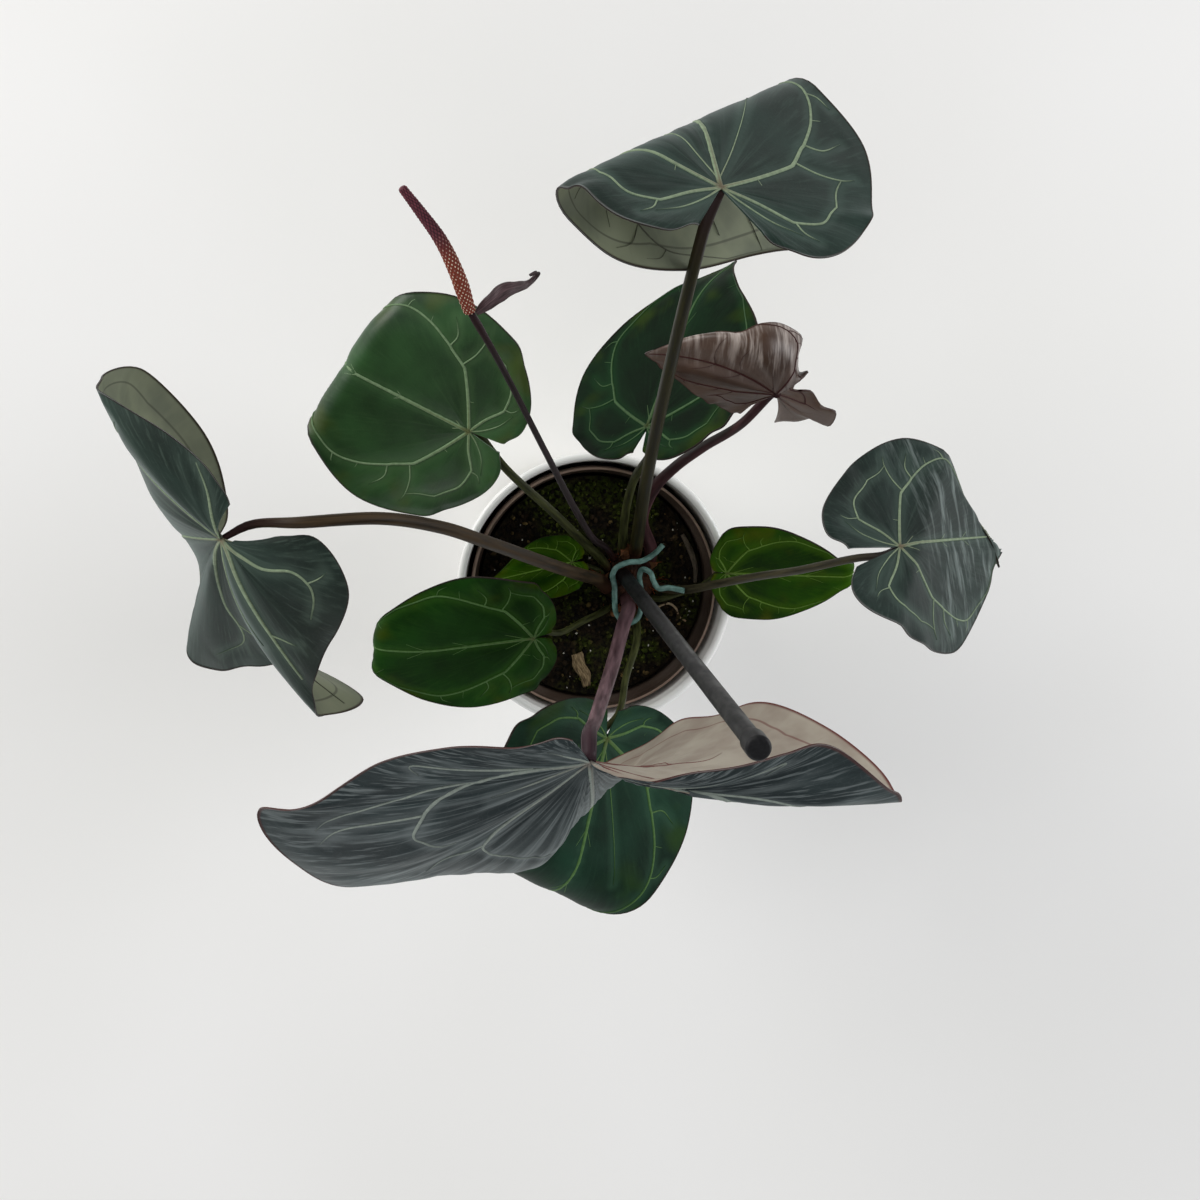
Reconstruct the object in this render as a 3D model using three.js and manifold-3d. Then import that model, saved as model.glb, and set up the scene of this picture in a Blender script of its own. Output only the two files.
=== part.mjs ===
// A potted anthurium hybrid with velvet leaves, in millimetres, +Z up.
// The origin is the centre of the flat underside of the outer pot.
// The plant is modelled as it is seen from above.
import * as THREE from "three";
import { mergeVertices } from "three/addons/utils/BufferGeometryUtils.js";
import Module from "manifold-3d";

const wasm = await Module();
wasm.setup();

const CUT_GAP = 0.3;
const TAU = 2 * Math.PI;
const rad = THREE.MathUtils.degToRad;

// Colours and finishes
const finish = (color, roughness) => new THREE.MeshStandardMaterial({ color, roughness, metalness: 0 });
const GLAZE = finish(0xf2f2f0, 0.15);
const TAN_PLASTIC = finish(0x8a7466, 0.5);
const POTTING_MIX = finish(0x1b1712, 0.95);
const BARK = finish(0x7c6a52, 0.9);
const DRY_ROOT = finish(0x4f473d, 0.9);
const STAKE_COAT = finish(0x3a3a3d, 0.45);
const TIE_COAT = finish(0x557f78, 0.45);
const CROWN_FIBRE = finish(0x3a2218, 0.9);
const VELVET = finish(0x2b3b37, 0.7);
const GREEN = finish(0x1f3a26, 0.5);
const YOUNG_GREEN = finish(0x4d6a1f, 0.5);
const BRONZE = finish(0x5a4740, 0.4);
const BROWN_STALK = finish(0x4a3f38, 0.6);
const MAUVE_STALK = finish(0x5d4548, 0.6);
const GREEN_STALK = finish(0x3d4a2c, 0.6);
const SPADIX_SKIN = finish(0x5a2a2c, 0.6);
const SPATHE_SKIN = finish(0x5c474b, 0.5);

// Pots, both turned on one axis
const POT_SIDES = 36;
const CACHEPOT = {
  rimRadius: 67.5,
  footRadius: 52.5,
  height: 124,
  wall: 4,
  floor: 5,
  footRound: 4,
  insideRound: 6,
};
const NURSERY_POT = {
  rimRadius: 60,
  footRadius: 42,
  rimHeight: 118,
  wall: 1.3,
  bandHeight: 9,
  bandStep: 1.8,
};
const SOIL = {
  top: 106,
  swell: 1.5,
  roughness: 0.9,
  rings: 5,
};

// Stem at soil level and the stake beside it
const CROWN = {
  centre: new THREE.Vector3(19, 2.5, 101),
  radii: new THREE.Vector3(13.5, 17, 12),
  rings: 6,
  sides: 12,
  scarDepth: 0.04,
  lobes: 3,
  lobeDepth: 0.07,
  fibres: 10,
  fibreLength: 13,
  fibreRadii: [1.8, 1.1, 0.6],
  fibreRoot: 0.62,
  fibreBulge: 2,
};
const STAKE = {
  place: new THREE.Vector2(15.5, 5.5),
  radius: 3.6,
  foot: 24,
  footRadius: 1.8,
  footLength: 6,
  top: 495,
  capRadius: 4.5,
  capLength: 12,
  capRound: 1.5,
  sides: 18,
};

// Half a blade outline from tip to sinus: across in half widths,
// along in lengths ahead of the hub or in lobes behind it
const HALF_OUTLINE = [
  [0, 1],
  [0.1, 0.9],
  [0.36, 0.74],
  [0.76, 0.53],
  [1.0, 0.29],
  [0.93, 0.03],
  [0.74, -0.42],
  [0.48, -0.88],
  [0.24, -1.0],
  [0.06, -0.78],
];
const BLADE_THICKNESS = 0.8;
const BLADE_RINGS = 6;
const OUTLINE_SPANS = 13;

// Stalks end in a neck behind the blade: its share of the last stretch of the route, up to a greatest length,
// and how far it stands off the seat along the blade's normal and back along the stalk, in neck lengths
const SEAT_GAP = 0.5;
const NECK_SHARE = 0.26;
const NECK_LENGTH = 9;
const NECK_DROP = 0.75;
const NECK_BACK = 0.6;
const STALK_STEPS = 14;
const STALK_SIDES = 6;

// Short stumps on the crown: a cut old stalk, a bud and a dry sheath, each as points and radii
const CROWN_STUMPS = [
  [
    [
      [17, 12, 105],
      [16.5, 17, 111],
      [16, 19.5, 116],
    ],
    [3, 2.8, 2.6],
  ],
  [
    [
      [13, -8, 103],
      [11, -12, 106],
      [10.5, -14, 110],
    ],
    [2.6, 2.4, 1.4],
  ],
  [
    [
      [25, -9, 103],
      [28, -13, 108],
      [27, -16, 114],
    ],
    [2.4, 2, 0.8],
  ],
];

// Flower head
const PEDUNCLE = {
  points: [
    [11.8, 12.2, 104],
    [4, 22.5, 130],
    [-4, 29.5, 152],
    [-16, 48, 190],
    [-34, 80, 240],
    [-57, 122, 290],
    [-69, 142, 310],
  ],
  radii: [1.7, 1.6, 1.5, 1.4, 1.3, 1.4],
};
const SPADIX = {
  points: [
    [-69.2, 142.3, 310.3],
    [-75, 158, 322],
    [-81, 170, 328],
    [-89, 181, 332],
    [-96, 190, 335],
  ],
  radii: [2.3, 2.9, 2.6, 2.2, 1.6, 0.9],
  sides: 12,
  rows: 26,
  floretsRound: 6,
  floretHeight: 0.22,
};
const SPATHE = {
  points: [
    [-66.6, 141.4, 309.3],
    [-61, 146, 313],
    [-55, 150.5, 313],
    [-49, 152, 309],
    [-45, 153, 303],
    [-42, 155.5, 300],
    [-42, 157, 304],
    [-45, 156, 305.5],
  ],
  halfWidths: [1.2, 2.6, 3.2, 2.8, 1.9, 1.3, 1, 0.7],
  steps: 22,
  thickness: 0.8,
  trough: 0.35,
};

// Coated wire tie wound round the stake and the stalk of the young leaf, from one tail to the other
const TIE = {
  radius: 1.7,
  sides: 7,
  steps: 44,
  points: [
    [32, 23, 131],
    [28, 18.5, 129],
    [22, 15.2, 129],
    [15.5, 14.6, 129],
    [9.8, 12.2, 129],
    [8, 8.5, 128],
    [9, 3, 127],
    [9.2, -4, 126],
    [10.2, -11, 125],
    [15, -16, 124.5],
    [20.5, -14, 124],
    [22.6, -7, 124],
    [22.3, 1, 124],
    [21.6, 7, 124],
    [23, 10.5, 125],
    [26.6, 9, 127],
    [28, 5, 129],
    [30, 2, 131],
    [35, 2.6, 134],
    [42, 1.4, 136.5],
  ],
};

// Things lying on the soil
const BARK_CHIP = {
  length: 17,
  width: 6,
  thickness: 2.4,
  place: [-5, -42],
  turn: -72,
  rise: 0.8,
  steps: 6,
  sides: 6,
};
const DRY_ROOT_PIECE = {
  points: [
    [45, 25, 1.2],
    [49, 17, 1.5],
    [51.5, 9, 1.3],
    [51.5, 1, 1.2],
  ],
  radii: [1, 1.5, 1.3, 0.8],
  steps: 8,
};

// Leaves
// The hub is where the stalk meets the blade.
// A heart blade is drawn flat and then bent: turn is its heading, nose up and right side down in degrees.
// Its size is the length ahead of the hub, the half width, the length of the back lobes and how far these
// splay apart for their length. Each fold is its way across the blade, its distance from the hub, and the
// radius and angle it rolls through.
// A fan blade hangs in folds that no flat drawing gives: each rib is its middle point and its end, from the
// hub, in order from the left of the sinus round the tip to its right. Its face is the way the upper side
// looks at the hub.
// The wave at the margin is its height and count. Stalk points run from the crown up, radii from foot to tip.
const LEAVES = {
  rear_velvet: {
    hub: [21, 189, 370],
    turn: [97, -45, 22],
    size: [145, 70, 28, 0.42],
    folds: [[-37, 22, 13.5, 150]],
    wave: [1.5, 4],
    rings: 9,
    spans: 15,
    skin: VELVET,
    stalk: [
      [21.5, 14.5, 104],
      [19.5, 24, 130],
      [17, 44, 167],
      [15, 65, 205],
      [14, 102, 262],
      [15, 157, 340],
    ],
    radii: [3.4, 3.0, 2.8, 2.7, 2.5, 2.2],
    stalkSkin: BROWN_STALK,
  },
  left_velvet: {
    hub: [-168, 53, 310],
    face: [-0.77, -0.54, 0.34],
    ribs: [
      [[4, -1, 3], [12, -2, 7]],
      [[17, -2, 9], [36, 2, 12]],
      [[23, -11, 8], [49, -18, 6]],
      [[20, -22, 3], [45, -39, -8]],
      [[17, -30, -2], [34, -64, -28]],
      [[10, -40, -18], [38, -82, -48]],
      [[12, -46, -48], [54, -81, -72]],
      [[4, -43, -70], [23, -71, -102]],
      [[-4, -38, -70], [0, -75, -120]],
      [[-9, -27, -48], [-16, -76, -130]],
      [[-11, -23, -52], [-24, -67, -120]],
      [[-10, -17, -48], [-17, -43, -98]],
      [[-16, -9, -50], [-8, -16, -98]],
      [[-24, 4, -44], [-2, 7, -86]],
      [[-31, 19, -32], [-10, 37, -63]],
      [[-35, 33, -18], [-33, 65, -36]],
      [[-33, 32, -4], [-47, 63, -14]],
      [[-24, 26, 6], [-41, 56, 0]],
      [[-11, 18, 9], [-20, 43, 10]],
      [[-4, 12, 9], [-3, 28, 15]],
      [[-1, 6, 6], [4, 15, 12]],
    ],
    wave: [0.8, 5],
    skin: VELVET,
    stalk: [
      [8, -2, 104],
      [1, 6, 126],
      [-9, 12, 150],
      [-33, 28, 215],
      [-63, 45, 265],
      [-81, 54, 290],
      [-106, 61, 315],
      [-137, 61, 325],
    ],
    radii: [3.5, 3.1, 3.0, 2.9, 2.8, 2.7, 2.6, 2.4, 1.2],
    stalkSkin: BROWN_STALK,
  },
  front_quilted: {
    hub: [-31, -20, 400],
    face: [0, -0.89, 0.45],
    ribs: [
      [[3, -2, 2], [10, -5, 4]],
      [[24, -8, 1], [46, -4, 4]],
      [[37, -10, -1], [74, 1, 2]],
      [[42, -12, -3], [95, 1, -4]],
      [[59, -18, -6], [122, -22, -20]],
      [[62, -17, -28], [123, -20, -50]],
      [[55, -16, -55], [109, -12, -92]],
      [[44, -17, -70], [86, -7, -120]],
      [[29, -19, -70], [58, -16, -142]],
      [[15, -23, -60], [34, -32, -160]],
      [[6, -31, -55], [14, -47, -175]],
      [[-4, -41, -55], [-3, -51, -158]],
      [[-15, -53, -52], [-25, -60, -135]],
      [[-35, -50, -44], [-52, -61, -108]],
      [[-52, -44, -34], [-88, -64, -76]],
      [[-61, -38, -22], [-110, -49, -54]],
      [[-61, -21, -12], [-124, -26, -32]],
      [[-51, -10, -6], [-98, -15, -16]],
      [[-41, -4, -1], [-76, 2, -4]],
      [[-26, 2, 4], [-53, 8, 4]],
      [[-12, 5, 7], [-27, 9, 10]],
      [[-3, 5, 4], [-7, 10, 8]],
    ],
    wave: [1.2, 5],
    skin: VELVET,
    stalk: [
      [17.5, -5, 104],
      [16, -9, 126],
      [11, -12, 150],
      [-2, -18, 220],
      [-14, -18, 290],
      [-25, -14, 360],
    ],
    radii: [3.7, 3.3, 3.2, 3.1, 3.0, 2.8, 2.5],
    stalkSkin: MAUVE_STALK,
  },
  left_green: {
    hub: [-65, 86, 210],
    turn: [152.5, -1, -21],
    size: [109, 53, 21, -0.05],
    folds: [[5, 54, 7, 130], [62, 43, 43, 36]],
    wave: [1, 4],
    rings: 10,
    skin: GREEN,
    stalk: [[8.2, 8, 104], [2, 16.5, 122], [-8, 27, 140], [-25, 45, 170], [-49, 69, 198]],
    radii: [2.4, 2.1, 2.0, 1.9, 1.8],
    stalkSkin: GREEN_STALK,
  },
  rear_green: {
    hub: [16, 86, 197],
    turn: [65, -26, -56],
    size: [106, 52, 17, 0],
    folds: [[12, 57, 53, 31], [29, 92, 7, 98]],
    wave: [1, 4],
    rings: 8,
    skin: GREEN,
    stalk: [[15.2, 15.6, 104], [14, 23, 118], [13, 38, 136], [14, 59, 165]],
    radii: [2.4, 2.1, 2.0, 1.9, 1.8],
    stalkSkin: GREEN_STALK,
  },
  bronze_new: {
    hub: [63, 105, 260],
    face: [-0.3, -0.35, 0.89],
    ribs: [
      [[-6, -3, -9], [-11, -9, -20]],
      [[-7, -4, -11], [-16, -9, -22]],
      [[-10, -3, -10], [-22, -6, -20]],
      [[-15, 0, -6], [-32, -1, -16]],
      [[-21, 4, -3], [-42, 7, -12]],
      [[-25, 8, -1], [-50, 13, -10]],
      [[-26, 13, 0], [-55, 17, -9]],
      [[-25, 17, 5], [-47, 20, -4]],
      [[-21, 20, 9], [-37, 24, 1]],
      [[-15, 20, 12], [-26, 26, 5]],
      [[-10, 18, 13], [-17, 27, 8]],
      [[-6, 18, 14], [-8, 30, 8]],
      [[-1, 17, 12], [1, 30, 4]],
      [[4, 15, 10], [11, 24, -2]],
      [[6, 11, 7], [10, 17, -10]],
      [[6, 6, 4], [11, 9, -7]],
      [[7, 4, 1], [14, 9, -1]],
      [[4, 2, 0], [8, 2, -2]],
      [[8, 0, -4], [16, 1, -5]],
      [[11, -3, -7], [22, -6, -11]],
      [[14, -6, -10], [29, -9, -14]],
      [[13, -8, -14], [28, -16, -24]],
      [[10, -8, -13], [21, -12, -22]],
      [[7, -7, -13], [13, -14, -26]],
      [[3, -7, -11], [4, -14, -25]],
    ],
    wave: [0.5, 6],
    rings: 5,
    skin: BRONZE,
    stalk: [
      [28.3, 7.5, 103],
      [28.5, 18.5, 112.5],
      [22, 35, 129],
      [25, 52, 149],
      [32, 65, 172],
      [41, 77, 200],
      [53, 91, 236],
    ],
    radii: [3.4, 3.1, 2.9, 2.6, 2.4, 2.2, 2.0, 1.9],
    stalkSkin: BROWN_STALK,
  },
  right_velvet: {
    hub: [107, 45, 305],
    turn: [7.5, -22, -32],
    size: [86, 47, 30, 0.06],
    folds: [[40, 7, 5, 33], [-44, 48, 18, 56]],
    wave: [0.8, 4],
    rings: 8,
    skin: VELVET,
    stalk: [
      [28.5, 0.5, 103],
      [35, -0.5, 115],
      [43, 1, 130],
      [54, 10, 170],
      [66, 19, 208],
      [77, 27, 245],
      [94, 38, 286],
    ],
    radii: [2.3, 2.0, 1.9, 1.8, 1.7, 1.6],
    stalkSkin: GREEN_STALK,
  },
  right_small: {
    hub: [62, 10.5, 140],
    spans: 9,
    stalkSteps: 6,
    turn: [-1, 12, 30],
    size: [74, 28, 8, -0.1],
    folds: [[-14, 54, 5, 130], [26, 52, 22, 58]],
    wave: [0.8, 3],
    rings: 8,
    skin: YOUNG_GREEN,
    stalk: [[27.5, -5.5, 104], [33, -6.5, 111], [41, -3.5, 116], [52, 2, 124.5]],
    radii: [1.6, 1.4, 1.3, 1.2, 1.2],
    stalkSkin: GREEN_STALK,
  },
  left_low: {
    hub: [-33, -16, 160],
    stalkSteps: 8,
    turn: [185.5, 4, -34],
    size: [101, 40, 11, 0],
    folds: [[8, 70, 7, 79], [43, 32, 38, 76]],
    wave: [1.2, 4],
    rings: 8,
    skin: GREEN,
    stalk: [[11.5, -9.5, 104], [3, -12.5, 115], [-5, -14, 125], [-20, -17, 143]],
    radii: [1.9, 1.6, 1.5, 1.4, 1.4],
    stalkSkin: GREEN_STALK,
  },
  front_green: {
    hub: [-4, -54, 210],
    turn: [257, 4, -32],
    size: [141, 60, 17, 0],
    folds: [[17, 52, 20, 98]],
    wave: [1, 4],
    rings: 9,
    skin: GREEN,
    stalk: [[21, -12, 103], [21, -18, 118], [19, -23, 135], [10, -34, 168], [3, -46, 196]],
    radii: [2.2, 1.9, 1.8, 1.7, 1.6, 1.6],
    stalkSkin: GREEN_STALK,
  },
  lowest_small: {
    hub: [-11, 14, 121],
    spans: 9,
    stalkSteps: 6,
    turn: [193, -3, 6],
    size: [44, 15, 7, 0],
    folds: [[0, 30, 20, 15]],
    wave: [0.5, 3],
    rings: 3,
    skin: YOUNG_GREEN,
    stalk: [[7, 3.6, 104], [2, 9, 112]],
    radii: [1.3, 1.1, 1.0],
    stalkSkin: GREEN_STALK,
  },
};

// Shape tools

// A closed body from rings of equal counts that turn left about the way ahead, with flat ends.
function skin(rings) {
  const sides = rings[0].length;
  const last = rings.length - 1;
  const points = rings.flat();
  const faces = [];
  for (let i = 0; i < last; i++) {
    for (let j = 0; j < sides; j++) {
      const a = i * sides + j;
      const b = i * sides + ((j + 1) % sides);
      faces.push(a, b, b + sides, a, b + sides, a + sides);
    }
  }
  for (const end of [0, last]) {
    const centre = points.length;
    points.push(rings[end].reduce((sum, p) => sum.add(p), new THREE.Vector3()).divideScalar(sides));
    for (let j = 0; j < sides; j++) {
      const a = end * sides + j;
      const b = end * sides + ((j + 1) % sides);
      faces.push(centre, end ? a : b, end ? b : a);
    }
  }
  return meshOf(points, faces);
}

function meshOf(points, faces) {
  const geometry = new THREE.BufferGeometry().setFromPoints(points);
  geometry.setIndex(faces);
  geometry.computeVertexNormals();
  return geometry;
}

// Solids for the cuts and joins, and back.
function solidOf(geometry) {
  const bare = geometry.clone();
  bare.deleteAttribute("normal");
  bare.deleteAttribute("uv");
  const merged = mergeVertices(bare, 1e-4);
  return new wasm.Manifold(
    new wasm.Mesh({
      numProp: 3,
      vertProperties: new Float32Array(merged.attributes.position.array),
      triVerts: new Uint32Array(merged.index.array),
    }),
  );
}

function geometryOf(solid) {
  const mesh = solid.getMesh();
  const geometry = new THREE.BufferGeometry();
  geometry.setAttribute("position", new THREE.BufferAttribute(new Float32Array(mesh.vertProperties), 3));
  geometry.setIndex(new THREE.BufferAttribute(new Uint32Array(mesh.triVerts), 1));
  geometry.computeVertexNormals();
  return geometry;
}

const vectors = (points) => points.map((p) => new THREE.Vector3(...p));

// A round tapering stalk through hand-chosen points; radii are spread evenly from its foot to its tip.
function stalk(points, radii, sides, steps, extra = 0) {
  const curve = new THREE.CatmullRomCurve3(points, false, "centripetal");
  const frames = curve.computeFrenetFrames(steps, false);
  const rings = [];
  for (let i = 0; i <= steps; i++) {
    const along = (i / steps) * (radii.length - 1);
    const k = Math.min(Math.floor(along), radii.length - 2);
    const radius = THREE.MathUtils.lerp(radii[k], radii[k + 1], along - k) + extra;
    const centre = curve.getPointAt(i / steps);
    const ring = [];
    for (let j = 0; j < sides; j++) {
      const turn = (j / sides) * TAU;
      ring.push(
        centre
          .clone()
          .addScaledVector(frames.normals[i], radius * Math.cos(turn))
          .addScaledVector(frames.binormals[i], radius * Math.sin(turn)),
      );
    }
    rings.push(ring);
  }
  return skin(rings);
}

// A pot or stake turned about +Z from a closed profile of [radius, height] points.
function turned(profile, sides) {
  const points = profile.map(([radius, height]) => new THREE.Vector2(radius, height));
  return new THREE.LatheGeometry(points, sides).rotateX(Math.PI / 2);
}

// Points on a quarter or half circle in a profile.
function arc(radius, height, round, from, to, steps) {
  const points = [];
  for (let i = 0; i <= steps; i++) {
    const turn = rad(from + ((to - from) * i) / steps);
    points.push([radius + round * Math.cos(turn), height + round * Math.sin(turn)]);
  }
  return points;
}

// Blades

// The outline of a heart blade in its own flat plane, from the left side of the sinus round the tip to its
// right side.
function outlineOf([length, halfWidth, lobe, splay], spans) {
  const half = HALF_OUTLINE.map(
    ([across, along]) =>
      new THREE.Vector3(
        across * halfWidth + splay * Math.max(0, -along) * lobe,
        along * (along > 0 ? length : lobe),
        0,
      ),
  );
  const curve = new THREE.CatmullRomCurve3(half, false, "catmullrom", 0.5);
  const right = [];
  for (let i = 0; i <= spans; i++) right.push(curve.getPoint(i / spans));
  const left = right.slice(1).map((p) => new THREE.Vector3(-p.x, p.y, 0));
  return [...left.reverse(), ...right];
}

// Rolls what lies past a straight crease round a rod; a positive angle rolls it down.
function foldAt(point, [way, distance, radius, angle]) {
  const aheadX = Math.sin(rad(way));
  const aheadY = Math.cos(rad(way));
  const past = point.x * aheadX + point.y * aheadY - distance;
  if (past <= 0) return;
  const down = Math.sign(angle);
  const turn = Math.min(past / radius, rad(Math.abs(angle)));
  const rest = past - radius * turn;
  const along = radius * Math.sin(turn) + rest * Math.cos(turn) + down * point.z * Math.sin(turn);
  const drop = radius * (1 - Math.cos(turn)) + rest * Math.sin(turn);
  point.x += (along - past) * aheadX;
  point.y += (along - past) * aheadY;
  point.z = point.z * Math.cos(turn) - down * drop;
}

// The middle surface of a heart blade: rings of points from the hub out, flat at first and then folded.
function heartRings(leaf, rings) {
  const rim = outlineOf(leaf.size, leaf.spans ?? OUTLINE_SPANS);
  return Array.from({ length: rings }, (_, r) =>
    rim.map((flat) => {
      const point = flat.clone().multiplyScalar((r + 1) / rings);
      for (const fold of leaf.folds) foldAt(point, fold);
      return point;
    }),
  );
}

// The middle surface of a fan blade: each rib is the parabola through the hub, its middle point and its end.
function fanRings(leaf, rings) {
  const through = (points) => new THREE.CatmullRomCurve3(vectors(points), false, "catmullrom", 0.5);
  const middles = through(leaf.ribs.map(([middle]) => middle));
  const ends = through(leaf.ribs.map(([, end]) => end));
  const last = leaf.ribs.length - 1;
  return Array.from({ length: rings }, (_, r) => {
    const t = (r + 1) / rings;
    const ring = [];
    for (let j = 0; j <= last; j++) {
      const bulge = middles.getPoint(j / last).multiplyScalar(4 * t * (1 - t));
      ring.push(bulge.addScaledVector(ends.getPoint(j / last), t * (2 * t - 1)));
    }
    return ring;
  });
}

// A closed blade of even thickness: the same triangles on both faces, joined round the margin and the sinus.
function bladeGeometry(leaf, extra = 0) {
  const rings = leaf.rings ?? BLADE_RINGS;
  const surface = leaf.ribs ? fanRings(leaf, rings) : heartRings(leaf, rings);
  const middle = [new THREE.Vector3(), ...surface.flat()];
  const across = surface[0].length;
  const at = (r, j) => (r === 0 ? 0 : 1 + (r - 1) * across + j);
  const top = [];
  for (let r = 0; r < rings; r++) {
    for (let j = 0; j < across - 1; j++) {
      top.push(at(r + 1, j), at(r, j), at(r + 1, j + 1));
      if (r > 0) top.push(at(r, j), at(r, j + 1), at(r + 1, j + 1));
    }
  }
  const edge = [];
  for (let r = 0; r < rings; r++) edge.push([at(r, 0), at(r + 1, 0)]);
  for (let j = 0; j < across - 1; j++) edge.push([at(rings, j), at(rings, j + 1)]);
  for (let r = rings; r > 0; r--) edge.push([at(r, across - 1), at(r - 1, across - 1)]);
  const [height, count] = leaf.wave;
  const waved = lifted(middle, top, (i) => {
    const ring = Math.ceil(i / across);
    const round = ((i - 1) % across) / (across - 1);
    return i === 0 ? 0 : height * (ring / rings) ** 3 * Math.sin(count * TAU * round);
  });
  return thickened(waved, top, edge, BLADE_THICKNESS + 2 * extra);
}

// Moves each point of a sheet along its normal by the height that belongs to it.
function lifted(points, faces, heightOf) {
  const normals = meshOf(points, faces).attributes.normal;
  return points.map((p, i) =>
    p.clone().addScaledVector(new THREE.Vector3().fromBufferAttribute(normals, i), heightOf(i)),
  );
}

// A closed solid about a sheet; edge pairs run round the sheet, which lies on their right.
function thickened(middle, top, edge, thickness) {
  const upper = lifted(middle, top, () => thickness / 2);
  const lower = lifted(middle, top, () => -thickness / 2);
  const n = middle.length;
  const faces = [...top];
  for (let k = 0; k < top.length; k += 3) faces.push(top[k + 2] + n, top[k + 1] + n, top[k] + n);
  for (const [a, b] of edge) faces.push(a, b, b + n, a, b + n, a + n);
  return meshOf([...upper, ...lower], faces);
}

// A heart blade's own frame: x to the right of the midrib, y along it and z out of the upper face.
function frameOf([heading, nose, roll]) {
  const ahead = new THREE.Vector3(
    Math.cos(rad(heading)) * Math.cos(rad(nose)),
    Math.sin(rad(heading)) * Math.cos(rad(nose)),
    Math.sin(rad(nose)),
  );
  const right = new THREE.Vector3(Math.sin(rad(heading)), -Math.cos(rad(heading)), 0);
  right.applyAxisAngle(ahead, rad(roll));
  return new THREE.Matrix4().makeBasis(right, ahead, new THREE.Vector3().crossVectors(right, ahead));
}

const placeOf = ({ turn, hub }) => (turn ? frameOf(turn) : new THREE.Matrix4()).setPosition(...hub);

// Pieces

const group = new THREE.Group();
group.name = "potted_anthurium_hybrid";

function add(name, geometry, material) {
  const mesh = new THREE.Mesh(geometry, material);
  mesh.name = name;
  group.add(mesh);
  return mesh;
}

// Glazed outer pot with a rounded lip and a flat underside.
function cachepotGeometry() {
  const { rimRadius, footRadius, height, wall, floor, footRound, insideRound } = CACHEPOT;
  const lip = wall / 2;
  return turned(
    [
      [0, 0],
      [footRadius - footRound, 0],
      ...arc(footRadius - footRound, footRound, footRound, -60, 0, 2),
      ...arc(rimRadius - lip, height - lip, lip, 0, 180, 4),
      ...arc(footRadius - wall - insideRound, floor + insideRound, insideRound, 0, -90, 2),
      [0, floor],
    ],
    POT_SIDES,
  );
}

// Thin grower's pot: a tapering wall under an upright band at the rim.
function nurseryPotGeometry() {
  const { rimRadius, footRadius, rimHeight, wall, bandHeight, bandStep } = NURSERY_POT;
  const base = CACHEPOT.floor + CUT_GAP;
  const step = rimHeight - bandHeight;
  return turned(
    [
      [0, base],
      [footRadius, base],
      [rimRadius - bandStep, step],
      [rimRadius, step],
      [rimRadius, rimHeight],
      [rimRadius - wall, rimHeight],
      [rimRadius - wall, step + wall],
      [rimRadius - bandStep - wall, step],
      [footRadius - wall, base + wall],
      [0, base + wall],
    ],
    POT_SIDES,
  );
}

// The soil surface swells in the middle and is uneven by a sum of waves.
function soilHeight(x, y) {
  const { top, swell, roughness } = SOIL;
  const out = Math.hypot(x, y) / NURSERY_POT.rimRadius;
  const uneven = Math.sin(x * 0.31 + 1.7) * Math.cos(y * 0.27 - 0.6) + 0.6 * Math.sin(x * 0.11 - y * 0.16);
  return top + swell * (1 - out * out) + roughness * uneven * (1 - out);
}

function soilGeometry() {
  const { rimRadius, footRadius, rimHeight, wall, bandStep } = NURSERY_POT;
  const base = CACHEPOT.floor + 2 * CUT_GAP + wall;
  const innerFoot = footRadius - wall - CUT_GAP;
  const innerTop = rimRadius - bandStep - wall - 2 * CUT_GAP;
  const topRadius = THREE.MathUtils.lerp(innerFoot, innerTop, SOIL.top / rimHeight);
  const ring = (radius, height) =>
    Array.from({ length: POT_SIDES }, (_, j) => {
      const turn = (j / POT_SIDES) * TAU;
      const x = radius * Math.cos(turn);
      const y = radius * Math.sin(turn);
      return new THREE.Vector3(x, y, height ?? soilHeight(x, y));
    });
  const rings = [ring(innerFoot - 1, base)];
  for (let r = SOIL.rings; r > 0; r--) rings.push(ring((topRadius * r) / SOIL.rings));
  return skin(rings);
}

// Support stake: a coated rod with a wider end cap, its foot pushed down into the soil.
function stakeGeometry(extra = 0) {
  const { place, radius, foot, footRadius, footLength, top, capRadius, capLength, capRound, sides } = STAKE;
  const rod = radius + extra;
  const cap = capRadius + extra;
  return turned(
    [
      [0, foot],
      [footRadius + extra, foot],
      [rod, foot + footLength],
      [rod, top - capLength],
      [cap, top - capLength],
      ...arc(cap - capRound, top - capRound, capRound, 0, 90, 2),
      [0, top],
    ],
    sides,
  ).translate(place.x, place.y, 0);
}

// The stalk of a leaf: its points from the crown, a neck that bends up behind the blade, and a seat just off
// the hub.
function leafStalk(leaf, extra = 0) {
  const face = leaf.face
    ? new THREE.Vector3(...leaf.face).normalize()
    : new THREE.Vector3(0, 0, 1).transformDirection(placeOf(leaf));
  const hub = new THREE.Vector3(...leaf.hub);
  const seat = hub.clone().addScaledVector(face, -(BLADE_THICKNESS / 2 + SEAT_GAP));
  const route = vectors(leaf.stalk);
  const back = route.at(-1).clone().sub(seat);
  const neckLength = Math.min(NECK_LENGTH, NECK_SHARE * back.length());
  back.normalize();
  const neck = seat.clone();
  neck.addScaledVector(face, -neckLength * NECK_DROP);
  neck.addScaledVector(back, neckLength * NECK_BACK);
  return stalk([...route, neck, seat], leaf.radii, STALK_SIDES, leaf.stalkSteps ?? STALK_STEPS, extra);
}

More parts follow.
